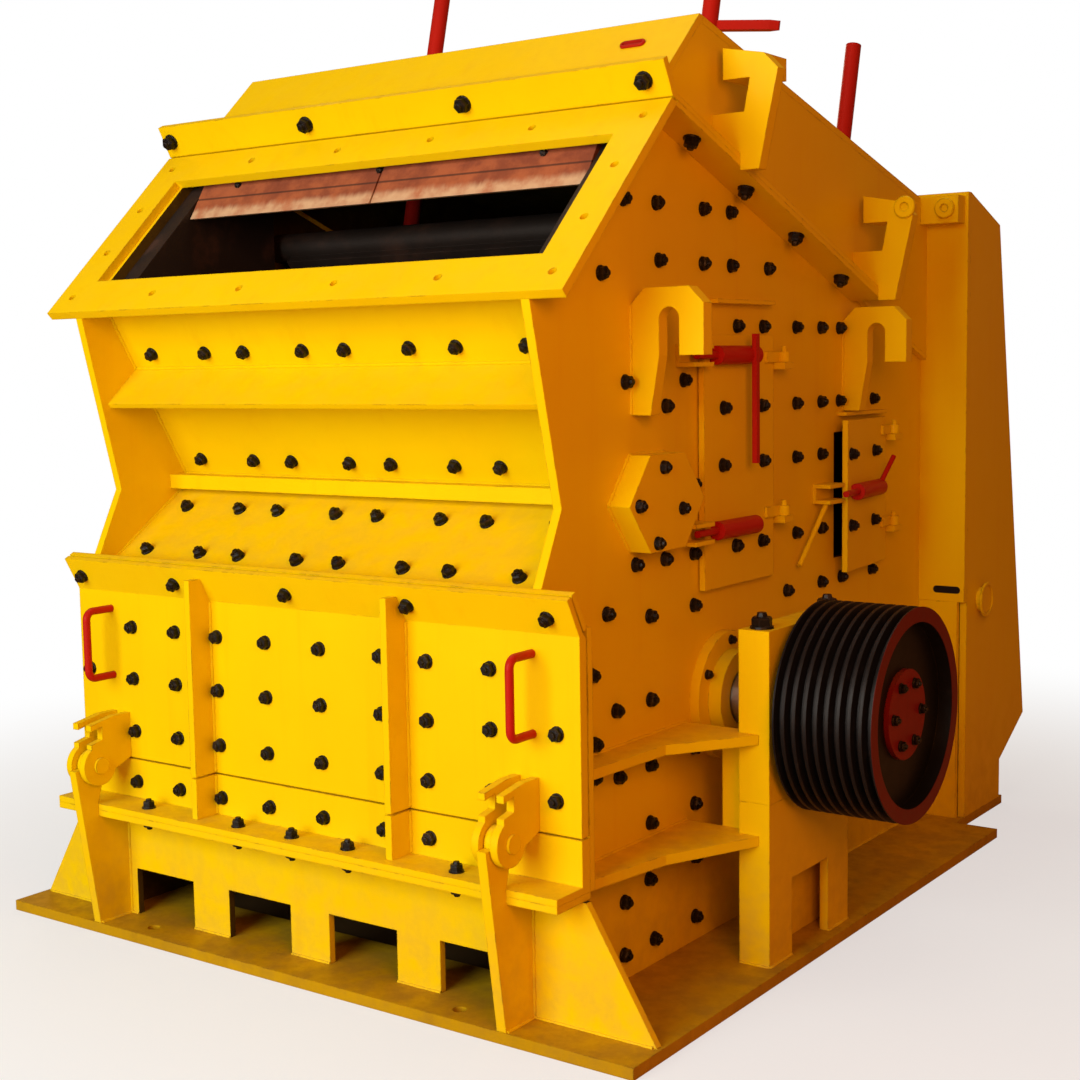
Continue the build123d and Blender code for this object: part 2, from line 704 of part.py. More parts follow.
def front_wall():
    """Folded wall between the side walls, from the inlet down to the door's lip."""
    upper_in = step(FOLD, UPPER_PANEL_IN, PLATE)
    lower_in = step(FOLD, LOWER_PANEL_IN, PLATE)
    outline = [
        FOLD,
        meet(FOLD, UPPER_PANEL, INLET_BACK, INLET_UP),
        meet(upper_in, UPPER_PANEL, INLET_BACK, INLET_UP),
        meet(upper_in, UPPER_PANEL, lower_in, LOWER_PANEL),
        meet(lower_in, LOWER_PANEL, FIXED_LIP_BACK, LIP_UP),
        meet(FOLD, LOWER_PANEL, FIXED_LIP_BACK, LIP_UP),
    ]
    return slab_x(outline, -INNER_HALF_WIDTH, INNER_HALF_WIDTH)


def rain_rib():
    """Slanted rib across the upper panel of the front wall."""
    top = meet(FOLD, UPPER_PANEL, (0, RAIN_RIB_TOP_Z), LEVEL)
    edge = (RAIN_RIB_EDGE_Y, RAIN_RIB_EDGE_Z)
    way = toward(edge, top)
    inner_edge = step(edge, (way[1], -way[0]), RAIN_RIB_PLATE)
    outline = [top, edge, inner_edge, meet(inner_edge, way, FOLD, UPPER_PANEL)]
    return slab_x(outline, -INNER_HALF_WIDTH, INNER_HALF_WIDTH)


def fold_bar():
    """Bar set into the fold of the front wall."""
    outline = [
        (FOLD_BAR_FRONT_Y, FOLD_BAR_TOP_Z),
        meet(FOLD, UPPER_PANEL, (0, FOLD_BAR_TOP_Z), LEVEL),
        FOLD,
        meet(FOLD, LOWER_PANEL, (0, FOLD_BAR_LOW_Z), LEVEL),
        (FOLD_BAR_FRONT_Y, FOLD_BAR_LOW_Z),
    ]
    return slab_x(outline, -INNER_HALF_WIDTH, INNER_HALF_WIDTH)


def inlet_plane():
    """Plane of the inlet flange, with its local Y up the slope from the lower edge."""
    normal = (0, -INLET_IN[0], -INLET_IN[1])
    return Plane(origin=(0, *INLET_LOW), x_dir=(1, 0, 0), z_dir=normal)


def inlet_hole_places():
    """Bolt places around the inlet rim, in the inlet plane."""
    edge_x = (INLET_HALF_OPENING + FLANGE_HALF_WIDTH) / 2
    pitch_x = 2 * edge_x / (INLET_HOLE_COLUMNS - 1)
    places = []
    for column in range(INLET_HOLE_COLUMNS):
        x = pitch_x * column - edge_x
        places += [(x, INLET_RIM / 2), (x, INLET_LENGTH - INLET_RIM / 2)]
    pitch_y = (INLET_LENGTH - INLET_RIM) / (INLET_HOLE_ROWS + 1)
    for row in range(INLET_HOLE_ROWS):
        y = INLET_RIM / 2 + pitch_y * (row + 1)
        places += [(-edge_x, y), (edge_x, y)]
    return places


def inlet_flange():
    """Sloped rectangular frame that the feed chute bolts to."""
    top = step(INLET_TOP, INLET_UP, -INLET_SEAM)
    back_top = step(JOINT_CORNER, INLET_UP, -INLET_SEAM)
    rim = slab_x([INLET_LOW, top, back_top, INLET_BACK], -FLANGE_HALF_WIDTH, FLANGE_HALF_WIDTH)
    plane = inlet_plane().offset(OVERRUN)
    depth = FLANGE_PLATE + 2 * OVERRUN
    opening = Rectangle(2 * INLET_HALF_OPENING, INLET_LENGTH - 2 * INLET_RIM)
    rim -= extrude(plane * Pos(0, INLET_LENGTH / 2) * opening, -depth)
    for x, y in inlet_hole_places():
        rim -= extrude(plane * Pos(x, y) * Circle(INLET_HOLE_RADIUS), -depth)
    return rim


def feed_liner():
    """Thick wear plate on the inside of the right wall, beside the feed."""
    front = step(FOLD, UPPER_PANEL_IN, PLATE + LINER_INSET)
    under_inlet = step(INLET_BACK, INLET_IN, LINER_INSET)
    under_joint = step(JOINT_CORNER, JOINT_UP, -LINER_INSET)
    outline = [
        meet(front, UPPER_PANEL, (0, LINER_LOW_Z), LEVEL),
        meet(front, UPPER_PANEL, under_inlet, INLET_UP),
        meet(under_inlet, INLET_UP, under_joint, JOINT_BACK),
        meet(under_joint, JOINT_BACK, (LINER_REAR_Y, 0), UPRIGHT),
        (LINER_REAR_Y, LINER_LOW_Z),
    ]
    return slab_x(outline, INNER_HALF_WIDTH - LINER_PLATE, INNER_HALF_WIDTH)


def curtain_bar():
    """Bar between the liners that carries the feed curtain."""
    low_y = CURTAIN_LOW_Y + CURTAIN_LEAN + CURTAIN_PLATE / 2
    half = INNER_HALF_WIDTH - LINER_PLATE
    top = CURTAIN_TOP_Z + CURTAIN_BAR_HEIGHT
    return block((-half, low_y, CURTAIN_TOP_Z), (half, low_y + CURTAIN_BAR, top))


def feed_curtain():
    """Two hanging wear plates behind the upper edge of the inlet."""
    outline = [
        (CURTAIN_LOW_Y, CURTAIN_LOW_Z),
        (CURTAIN_LOW_Y + CURTAIN_LEAN, CURTAIN_TOP_Z),
        (CURTAIN_LOW_Y + CURTAIN_LEAN + CURTAIN_PLATE, CURTAIN_TOP_Z),
        (CURTAIN_LOW_Y + CURTAIN_PLATE, CURTAIN_LOW_Z),
    ]
    half = INNER_HALF_WIDTH - LINER_PLATE - MOVING_GAP
    right = slab_x(outline, CURTAIN_SPLIT / 2, half)
    return right + other_side(right)


def side_flange():
    """Flange on the outside of the right wall, under the roof joint."""
    low_line = step(INLET_TOP, JOINT_UP, -JOINT_PLATE)
    outline = [
        JOINT_CORNER,
        (JOINT_REAR_Y, joint_height(JOINT_REAR_Y)),
        meet(low_line, JOINT_BACK, (JOINT_REAR_Y, 0), UPRIGHT),
        meet(low_line, JOINT_BACK, INLET_BACK, INLET_UP),
    ]
    return slab_x(outline, HALF_WIDTH, FLANGE_HALF_WIDTH)


def roof_flange():
    """Flange round the foot of the roof box, bent up into a lip above the inlet."""
    tip = step(INLET_TOP, ROOF_LIP_UP, ROOF_LIP_LENGTH)
    lip_back = step(INLET_TOP, ROOF_LIP_IN, ROOF_LIP_PLATE)
    outline = [
        INLET_TOP,
        (HOUSING_REAR_Y, joint_height(HOUSING_REAR_Y)),
        meet(JOINT_TOP, JOINT_BACK, REAR_LINE, UPRIGHT),
        meet(lip_back, ROOF_LIP_UP, JOINT_TOP, JOINT_BACK),
        step(tip, ROOF_LIP_IN, ROOF_LIP_PLATE),
        tip,
    ]
    flange = slab_x(outline, -FLANGE_HALF_WIDTH, FLANGE_HALF_WIDTH)
    inside = step(ROOF_FRONT_FOOT, ROOF_FRONT_IN, PLATE)
    opening_front = meet(inside, ROOF_FRONT_UP, JOINT_TOP, JOINT_BACK)[0]
    flange -= block(
        (-INNER_HALF_WIDTH, opening_front, 0),
        (INNER_HALF_WIDTH, HOUSING_REAR_Y + OVERRUN, INLET_TOP[1]),
    )
    trim = block(
        (ROOF_HALF_WIDTH, JOINT_REAR_Y, 0),
        (BASE_HALF_WIDTH, HOUSING_REAR_Y + OVERRUN, INLET_TOP[1]),
    )
    return flange - trim - other_side(trim)


def roof_front():
    """Leaning front plate of the roof box."""
    inside = step(ROOF_FRONT_FOOT, ROOF_FRONT_IN, PLATE)
    outline = [
        ROOF_FRONT_FOOT,
        ROOF_TOP,
        meet(inside, ROOF_FRONT_UP, ROOF_TOP, ROOF_BACK),
        meet(inside, ROOF_FRONT_UP, JOINT_TOP, JOINT_BACK),
    ]
    return slab_x(outline, -ROOF_HALF_WIDTH, ROOF_HALF_WIDTH)


def roof_side():
    """Right side plate of the roof box."""
    inside = step(ROOF_FRONT_FOOT, ROOF_FRONT_IN, PLATE)
    under = step(ROOF_TOP, ROOF_UNDER, PLATE)
    outline = [
        meet(inside, ROOF_FRONT_UP, JOINT_TOP, JOINT_BACK),
        meet(inside, ROOF_FRONT_UP, under, ROOF_BACK),
        meet(under, ROOF_BACK, REAR_LINE, UPRIGHT),
        meet(JOINT_TOP, JOINT_BACK, REAR_LINE, UPRIGHT),
    ]
    return slab_x(outline, ROOF_HALF_WIDTH - PLATE, ROOF_HALF_WIDTH)


def roof_plate():
    """Sloped roof plate with the holes of the four adjusting rods."""
    inside = step(ROOF_FRONT_FOOT, ROOF_FRONT_IN, PLATE)
    under = step(ROOF_TOP, ROOF_UNDER, PLATE)
    outline = [
        meet(inside, ROOF_FRONT_UP, ROOF_TOP, ROOF_BACK),
        meet(ROOF_TOP, ROOF_BACK, REAR_LINE, UPRIGHT),
        meet(under, ROOF_BACK, REAR_LINE, UPRIGHT),
        meet(inside, ROOF_FRONT_UP, under, ROOF_BACK),
    ]
    plate = slab_x(outline, -ROOF_HALF_WIDTH, ROOF_HALF_WIDTH)
    for x, y in rod_places():
        plate -= rod_hole(x, y)
    return plate


def rod_plane(x, y):
    """Plane of the roof's upper face at an adjusting rod, with its normal along the rod."""
    return Plane(origin=(x, y, roof_height(y)), x_dir=(1, 0, 0), z_dir=(0, *ROOF_UP))


def rod_hole(x, y):
    """Cut that clears an adjusting rod through the roof and its seat."""
    return extrude(rod_plane(x, y).offset(-ROD_SEAT) * Circle(ROD_RADIUS + PIN_GAP), 2 * ROD_SEAT)


def rod_end(y, depth):
    """Lower end of an adjusting rod in Y and Z."""
    return step((y, roof_height(y)), ROOF_UP, -depth)


def rod_places():
    """Plan places of the front and rear adjusting rods."""
    return [
        (-FRONT_ROD_X, FRONT_ROD_Y),
        (FRONT_ROD_X, FRONT_ROD_Y),
        (-REAR_ROD_X, REAR_ROD_Y),
        (REAR_ROD_X, REAR_ROD_Y),
    ]


def side_hook(y, top):
    """Inverted hook plate on the right wall."""
    low = top - HOOK_HEIGHT
    slot_x = HALF_WIDTH + HOOK_SLOT_X
    tip_x = HALF_WIDTH + HOOK_REACH
    outline = [
        (HALF_WIDTH, low),
        (HALF_WIDTH + HOOK_FOOT_WIDTH, low),
        (slot_x, top - HOOK_TIP),
        (tip_x, top - HOOK_TIP),
        (tip_x, top - HOOK_CHAMFER),
        (tip_x - HOOK_CHAMFER, top),
        (HALF_WIDTH + HOOK_CHAMFER, top),
        (HALF_WIDTH, top - HOOK_CHAMFER),
    ]
    hook = slab_y(outline, y - HOOK_PLATE / 2, y + HOOK_PLATE / 2)
    slot_radius = HOOK_SLOT_WIDTH / 2
    slot_top = top - HOOK_SLOT_TOP - slot_radius
    slot = block(
        (slot_x, y - HOOK_PLATE, top - HOOK_TIP - OVERRUN),
        (slot_x + HOOK_SLOT_WIDTH, y + HOOK_PLATE, slot_top),
    )
    slot += rod_y(slot_x + slot_radius, slot_top, slot_radius, y - HOOK_PLATE, y + HOOK_PLATE)
    return hook - slot


def roof_hook(y):
    """Hook plate that stands on the right edge of the roof joint, open towards the roof box."""
    low = joint_height(y) - ROOF_HOOK_DROP
    top = low + ROOF_HOOK_HEIGHT
    reach = FLANGE_HALF_WIDTH + ROOF_HOOK_REACH
    tip_x = ROOF_HALF_WIDTH + ROOF_HOOK_TIP_GAP
    arm_low = top - ROOF_HOOK_ARM
    outline = [
        (ROOF_HALF_WIDTH, low),
        (FLANGE_HALF_WIDTH + ROOF_HOOK_STEM, low),
        (reach, top - ROOF_HOOK_SHOULDER),
        (reach - ROOF_HOOK_NOSE, top - ROOF_HOOK_NOSE_DROP),
        (tip_x, top),
        (tip_x, arm_low),
        (FLANGE_HALF_WIDTH + ROOF_HOOK_THROAT, arm_low),
        (FLANGE_HALF_WIDTH + ROOF_HOOK_ROOT_REACH, low + ROOF_HOOK_ROOT),
        (ROOF_HALF_WIDTH, low + ROOF_HOOK_ROOT),
    ]
    rear = y + ROOF_HOOK_PLATE
    hook = slab_y(outline, y, rear)
    hook += block(
        (tip_x, y, arm_low),
        (reach - ROOF_HOOK_NOSE, rear + ROOF_HOOK_BACK, top - ROOF_HOOK_NOSE_DROP),
    )
    joint = [
        (y - OVERRUN, 0),
        (rear + OVERRUN, 0),
        meet(JOINT_TOP, JOINT_BACK, (rear + OVERRUN, 0), UPRIGHT),
        meet(JOINT_TOP, JOINT_BACK, (y - OVERRUN, 0), UPRIGHT),
    ]
    return hook - slab_x(joint, INNER_HALF_WIDTH, FLANGE_HALF_WIDTH)


def pivot_cover():
    """Raised hexagonal cover on the right wall."""
    flat = COVER_HALF_LENGTH * COVER_FLAT_SHARE
    outline = [
        (COVER_Y - COVER_HALF_LENGTH, COVER_Z),
        (COVER_Y - flat, COVER_Z + COVER_HALF_HEIGHT),
        (COVER_Y + flat, COVER_Z + COVER_HALF_HEIGHT),
        (COVER_Y + COVER_HALF_LENGTH, COVER_Z),
        (COVER_Y + flat, COVER_Z - COVER_HALF_HEIGHT),
        (COVER_Y - flat, COVER_Z - COVER_HALF_HEIGHT),
    ]
    return slab_x(outline, HALF_WIDTH, HALF_WIDTH + COVER_RAISE)


def pedestal():
    """Right bearing pedestal: a welded box with a window and narrow webs between the gussets."""
    front = block(
        (PEDESTAL_INNER_X, PEDESTAL_FRONT_Y, BASE_PLATE),
        (PEDESTAL_OUTER_X, PEDESTAL_FRONT_Y + WALL, PEDESTAL_TOP_Z),
    )
    rear = block(
        (PEDESTAL_INNER_X, PEDESTAL_REAR_Y - WALL, BASE_PLATE),
        (PEDESTAL_OUTER_X, PEDESTAL_REAR_Y, PEDESTAL_TOP_Z),
    )
    outer = block(
        (PEDESTAL_OUTER_X - WALL, PEDESTAL_FRONT_Y, BASE_PLATE),
        (PEDESTAL_OUTER_X, PEDESTAL_REAR_Y, PEDESTAL_TOP_Z),
    )
    outer -= block(
        (PEDESTAL_OUTER_X - WALL - OVERRUN, ROTOR_Y - PEDESTAL_WINDOW_WIDTH / 2, BASE_PLATE - OVERRUN),
        (PEDESTAL_OUTER_X + OVERRUN, ROTOR_Y + PEDESTAL_WINDOW_WIDTH / 2, PEDESTAL_WINDOW_TOP_Z),
    )
    head = block(
        (PEDESTAL_INNER_X, PEDESTAL_FRONT_Y, PEDESTAL_TOP_Z - WALL),
        (PEDESTAL_OUTER_X, PEDESTAL_REAR_Y, PEDESTAL_TOP_Z),
    )
    inner = block(
        (PEDESTAL_INNER_X, PEDESTAL_FRONT_Y, BASE_PLATE),
        (PEDESTAL_INNER_X + PLATE, PEDESTAL_REAR_Y, PEDESTAL_TOP_Z),
    )
    web_x = PEDESTAL_INNER_X - PEDESTAL_WEB_WIDTH
    web_low = GUSSET_LOWER_TOP_Z - GUSSET_PLATE
    web_top = GUSSET_UPPER_TOP_Z - GUSSET_PLATE
    box = front + rear + outer + head + inner
    for y in (PEDESTAL_FRONT_Y + PEDESTAL_WEB_SETBACK, PEDESTAL_REAR_Y - PEDESTAL_WEB_SETBACK - PLATE):
        box += block((web_x, y, web_low), (PEDESTAL_INNER_X, y + PLATE, web_top))
    return box


def bearing():
    """Right bearing housing with a round cap on each side."""
    housing = block(
        (PEDESTAL_INNER_X, PEDESTAL_FRONT_Y, PEDESTAL_TOP_Z),
        (PEDESTAL_OUTER_X, PEDESTAL_REAR_Y, BEARING_TOP_Z),
    )
    low = PEDESTAL_INNER_X - BEARING_CAP
    high = PEDESTAL_OUTER_X + BEARING_OUTER_CAP
    housing += rod_x(ROTOR_Y, ROTOR_Z, BEARING_CAP_RADIUS, low, high)
    return housing - rod_x(ROTOR_Y, ROTOR_Z, SHAFT_RADIUS + PIN_GAP, low - OVERRUN, high + OVERRUN)


def shaft_seal():
    """Flanged seal ring round the shaft on the right wall."""
    ring = rod_x(ROTOR_Y, ROTOR_Z, SEAL_RADIUS, HALF_WIDTH, HALF_WIDTH + SEAL_PLATE)
    ring += rod_x(ROTOR_Y, ROTOR_Z, SEAL_HUB_RADIUS, HALF_WIDTH, HALF_WIDTH + SEAL_HUB)
    return ring - shaft_hole(HALF_WIDTH, HALF_WIDTH + SEAL_HUB)


def gusset(knee, top):
    """Level stiffener that widens from the door frame to the pedestal."""
    jamb_back = DOOR_BACK_Y + JAMB_PLATE
    web_y = PEDESTAL_FRONT_Y + PEDESTAL_WEB_SETBACK
    outline = [
        (HALF_WIDTH, jamb_back),
        (HALF_WIDTH + GUSSET_START, jamb_back),
        knee,
        (HALF_WIDTH + GUSSET_END, PEDESTAL_FRONT_Y),
        (PEDESTAL_INNER_X, PEDESTAL_FRONT_Y),
        (PEDESTAL_INNER_X, web_y),
        (HALF_WIDTH, web_y),
    ]
    return slab_z(outline, top - GUSSET_PLATE, top)


def gussets():
    """Upper and lower gusset of the right side."""
    upper = gusset((HALF_WIDTH + GUSSET_UPPER_KNEE, GUSSET_UPPER_KNEE_Y), GUSSET_UPPER_TOP_Z)
    return upper + gusset((HALF_WIDTH + GUSSET_LOWER_KNEE, GUSSET_LOWER_KNEE_Y), GUSSET_LOWER_TOP_Z)


def rear_portal():
    """Upright frame plate that ends the housing and carries the rear box."""
    outline = [
        (-REAR_HALF_WIDTH, PORTAL_LEG_LOW_Z),
        (-REAR_HALF_WIDTH, REAR_TOP_Z),
        (REAR_HALF_WIDTH, REAR_TOP_Z),
        (REAR_HALF_WIDTH, PORTAL_LEG_LOW_Z),
        (INNER_HALF_WIDTH, PORTAL_LEG_LOW_Z),
        (INNER_HALF_WIDTH, PORTAL_HEAD_Z),
        (-INNER_HALF_WIDTH, PORTAL_HEAD_Z),
        (-INNER_HALF_WIDTH, PORTAL_LEG_LOW_Z),
    ]
    return slab_y(outline, HOUSING_REAR_Y, HOUSING_REAR_Y + FLANGE_PLATE)


def rear_web():
    """Plate that closes the right rear corner below the portal leg."""
    y = HOUSING_REAR_Y
    return block((HALF_WIDTH, y, BASE_PLATE), (REAR_HALF_WIDTH - WALL, y + PLATE, PORTAL_LEG_LOW_Z))


def rear_profile():
    """Corner points of the rear box, from its front top down to its foot."""
    return [
        (HOUSING_REAR_Y + REAR_TOP_DEPTH, REAR_TOP_Z - REAR_TOP_DROP),
        (HOUSING_REAR_Y + REAR_TOE_DEPTH, REAR_TOE_Z),
        (HOUSING_REAR_Y + REAR_FOOT_DEPTH, REAR_FOOT_Z),
        (HOUSING_REAR_Y + REAR_FOOT_DEPTH, BASE_PLATE),
    ]


def rear_side():
    """Right side plate of the rear box, with the round pivot boss."""
    front = HOUSING_REAR_Y + FLANGE_PLATE
    outline = [(front, BASE_PLATE), (front, REAR_TOP_Z)] + rear_profile()
    plate = slab_x(outline, REAR_HALF_WIDTH - WALL, REAR_HALF_WIDTH)
    boss_end = REAR_HALF_WIDTH + REAR_PIVOT_PROUD
    boss_y = HOUSING_REAR_Y + REAR_PIVOT_DEPTH
    return plate + rod_x(boss_y, REAR_PIVOT_Z, REAR_PIVOT_RADIUS, REAR_HALF_WIDTH, boss_end)


def inward(points, thickness):
    """Points moved inward from a chain of corners, mitred at each bend."""
    ways = [toward(first, second) for first, second in zip(points, points[1:])]
    starts = [step(p, (w[1], -w[0]), thickness) for p, w in zip(points, ways)]
    moved = [starts[0]]
    for index in range(1, len(ways)):
        moved.append(meet(starts[index - 1], ways[index - 1], starts[index], ways[index]))
    return moved + [step(points[-1], (ways[-1][1], -ways[-1][0]), thickness)]


def rear_wall():
    """Folded rear wall between the side plates of the rear box."""
    half = REAR_HALF_WIDTH - WALL
    points = rear_profile()
    return slab_x(points + inward(points, PLATE)[::-1], -half, half)


def rear_roof():
    """Sloped top plate of the rear box."""
    half = REAR_HALF_WIDTH - WALL
    points = [(HOUSING_REAR_Y + FLANGE_PLATE, REAR_TOP_Z), rear_profile()[0]]
    under = [(y, z - PLATE) for y, z in points]
    wall = rear_profile()[:2]
    wall_start = inward(wall, PLATE)[0]
    wall_way = toward(*wall)
    top_way = toward(*points)
    outline = [
        points[0],
        meet(points[0], top_way, wall_start, wall_way),
        meet(under[0], top_way, wall_start, wall_way),
        under[0],
    ]
    return slab_x(outline, -half, half)


def rear_latch():
    """Right clamp block between the roof and the rear box."""
    y = HOUSING_REAR_Y
    outer = REAR_HALF_WIDTH - LATCH_MARGIN
    top = LATCH_LOW_Z + LATCH_HEIGHT
    return block((ROOF_HALF_WIDTH, y - LATCH_DEPTH, LATCH_LOW_Z), (outer, y, top))


def apron(points, lug_outline, lug_x):
    """Bent impact plate hung between the side walls on a shaft, with two lugs for its rods."""
    inner = inward(points, APRON_PLATE)
    plate = slab_x(points + inner[::-1], -APRON_HALF_WIDTH, APRON_HALF_WIDTH)
    plate += rod_x(*points[0], APRON_SHAFT_RADIUS, -INNER_HALF_WIDTH, INNER_HALF_WIDTH)
    lug = slab_x(lug_outline, lug_x - ROD_LUG / 2, lug_x + ROD_LUG / 2)
    return plate + both_sides(lug)


def front_apron():
    """First impact apron, above and behind the rotor."""
    top = (FRONT_APRON_SHAFT_Y, FRONT_APRON_SHAFT_Z)
    knee = (FRONT_APRON_KNEE_Y, FRONT_APRON_KNEE_Z)
    way = toward(top, knee)
    end = rod_end(FRONT_ROD_Y, FRONT_ROD_DEPTH)
    front = step(end, ROOF_BACK, -ROD_LUG / 2)
    rear = step(end, ROOF_BACK, ROD_LUG / 2)
    lug = [front, rear, meet(rear, ROOF_UP, top, way), meet(front, ROOF_UP, top, way)]
    return apron([top, knee, (FRONT_APRON_TIP_Y, FRONT_APRON_TIP_Z)], lug, FRONT_ROD_X)


def rear_apron():
    """Second impact apron, behind the rotor."""
    top = (REAR_APRON_SHAFT_Y, REAR_APRON_SHAFT_Z)
    knee = (REAR_APRON_KNEE_Y, REAR_APRON_KNEE_Z)
    way = toward(top, knee)
    end = rod_end(REAR_ROD_Y, REAR_ROD_DEPTH)
    rear = step(end, ROOF_BACK, ROD_LUG / 2)
    low = step(rear, ROOF_UP, -ROD_LUG)
    foot = step(meet(low, ROOF_BACK, top, way), way, ROD_LUG)
    lug = [meet(end, ROOF_BACK, top, way), rear, low, foot]
    return apron([top, knee, (REAR_APRON_TIP_Y, REAR_APRON_TIP_Z)], lug, REAR_ROD_X)


def rod_seat(x, y):
    """Square block on the roof round an adjusting rod."""
    return extrude(rod_plane(x, y) * Rectangle(ROD_SEAT, ROD_SEAT), ROD_SEAT_HEIGHT) - rod_hole(x, y)


def adjuster(x, y, depth):
    """Adjusting rod square to the roof, with the nut it hangs by."""
    plane = rod_plane(x, y)
    nut = RegularPolygon(2 * ROD_RADIUS, NUT_SIDES)
    rod = extrude(plane.offset(-depth) * Circle(ROD_RADIUS), depth + ROD_RISE)
    return rod + extrude(plane.offset(ROD_SEAT_HEIGHT) * nut, 2 * ROD_RADIUS)


def front_adjuster():
    """Right front adjusting rod with its turning arm."""
    half = ROD_ARM_PLATE / 2
    outline = [
        (0, -half),
        (ROD_ARM_LENGTH - ROD_ARM_HEIGHT, -half),
        (ROD_ARM_LENGTH, 0),
        (ROD_ARM_LENGTH - ROD_ARM_HEIGHT, half),
        (0, half),
    ]
    face = make_face(Polyline(*outline, close=True))
    plane = rod_plane(FRONT_ROD_X, FRONT_ROD_Y).offset(ROD_ARM_RISE)
    arm = extrude(plane * Rot(0, 0, ROD_ARM_ANGLE) * face, ROD_ARM_HEIGHT)
    return adjuster(FRONT_ROD_X, FRONT_ROD_Y, FRONT_ROD_DEPTH) + arm


def rear_adjuster():
    """Right rear adjusting rod."""
    return adjuster(REAR_ROD_X, REAR_ROD_Y, REAR_ROD_DEPTH)


HATCH_FACE_X = HALF_WIDTH + MOVING_GAP + INSPECTION_PLATE
HATCH_HINGE_X = HATCH_FACE_X + HATCH_KNUCKLE_RADIUS


def height_on(hatch, share):
    """Height at a share of an inspection door's own height."""
    return hatch[2] + (hatch[3] - hatch[2]) * share


def hinge_heights(hatch):
    """Heights of the hinge knuckles of an inspection door."""
    return [height_on(hatch, share) for share in HATCH_HINGE_SHARES]


def hatch_door(hatch):
    """Inspection door plate with two hinge straps that end in knuckles."""
    front, rear, low, top = hatch
    hinge_y = rear + HATCH_HINGE_SETBACK
    door = block((HALF_WIDTH + MOVING_GAP, front, low), (HATCH_FACE_X, rear, top))
    for z in hinge_heights(hatch):
        strap_low = z - HATCH_KNUCKLE / 2
        strap_top = z + HATCH_KNUCKLE / 2
        door += block(
            (HATCH_FACE_X, hinge_y - HATCH_STRAP_LENGTH, strap_low),
            (HATCH_FACE_X + HATCH_STRAP_PLATE, hinge_y, strap_top),
        )
        door += rod_z(HATCH_HINGE_X, hinge_y, HATCH_KNUCKLE_RADIUS, strap_low, strap_top)
    for z in hinge_heights(hatch):
        door -= rod_z(HATCH_HINGE_X, hinge_y, HATCH_PIN_RADIUS + PIN_GAP, low, top + HATCH_KNUCKLE)
    return door


def hatch_hinges(hatch):
    """Wall brackets with upright pins for an inspection door."""
    hinge_y = hatch[1] + HATCH_HINGE_SETBACK
    half = HATCH_BRACKET_WIDTH / 2
    brackets = None
    for z in hinge_heights(hatch):
        top = z - HATCH_KNUCKLE / 2 - PIN_GAP
        bracket = block(
            (HALF_WIDTH, hinge_y - half, top - HATCH_BRACKET),
            (HATCH_HINGE_X + HATCH_KNUCKLE_RADIUS, hinge_y + half, top),
        )
        bracket += rod_z(HATCH_HINGE_X, hinge_y, HATCH_PIN_RADIUS, top, z + HATCH_KNUCKLE)
        brackets = bracket if brackets is None else brackets + bracket
    return brackets


def clamp(front, z, lever):
    """Clamp barrel on an inspection door, its tongue past the door's edge, with or without a lever."""
    axis_x = HATCH_FACE_X + CLAMP_AXIS
    rear = front + CLAMP_START + CLAMP_LENGTH
    barrel = rod_y(axis_x, z, CLAMP_RADIUS, front + CLAMP_START, rear)
    barrel += rod_y(axis_x, z, CLAMP_TONGUE_RADIUS, front - CLAMP_TONGUE, rear)
    barrel -= block(
        (HALF_WIDTH, front, z - CLAMP_RADIUS - OVERRUN),
        (HATCH_FACE_X, rear + OVERRUN, z + CLAMP_RADIUS + OVERRUN),
    )
    if lever:
        x = axis_x + CLAMP_RADIUS
        y = front + CLAMP_LEVER_SETBACK
        half = CLAMP_LEVER / 2
        barrel += block(
            (x - half, y - half, z - CLAMP_LEVER_DROP),
            (x + half, y + half, z + CLAMP_LEVER_RISE),
        )
    return barrel


def clamp_bracket(front, z):
    """Forked wall bracket that a clamp's tongue closes into."""
    rear = front - 2 * MOVING_GAP
    start = rear - CLAMP_BRACKET_LENGTH
    half_gap = CLAMP_BRACKET_GAP / 2
    half = half_gap + CLAMP_BRACKET_PLATE
    outer = HALF_WIDTH + CLAMP_BRACKET_REACH
    bracket = block((HALF_WIDTH, start, z - half), (outer, rear, z + half))
    return bracket - block(
        (HALF_WIDTH + CLAMP_BRACKET_PLATE, start - OVERRUN, z - half_gap),
        (outer + OVERRUN, rear + OVERRUN, z + half_gap),
    )


def rain_strip(hatch, low):
    """Narrow ledge on the right wall above an inspection door."""
    front, rear = hatch[:2]
    return block(
        (HALF_WIDTH, front + STRIP_INSET, low),
        (HALF_WIDTH + STRIP_REACH, rear, low + STRIP_PLATE),
    )


def ajar(shape):
    """Piece of the rear inspection door, swung open a little about its hinge."""
    hinge = Axis((HATCH_HINGE_X, REAR_HATCH_REAR_Y + HATCH_HINGE_SETBACK, 0), (0, 0, 1))
    return shape.rotate(hinge, REAR_HATCH_AJAR_ANGLE)


def left_hatches():
    """Closed inspection doors of the left wall."""
    doors = None
    for front, rear, low, top in (FRONT_HATCH, REAR_HATCH):
        door = block((-HALF_WIDTH - INSPECTION_PLATE, front, low), (-HALF_WIDTH, rear, top))
        doors = door if doors is None else doors + door
    return doors


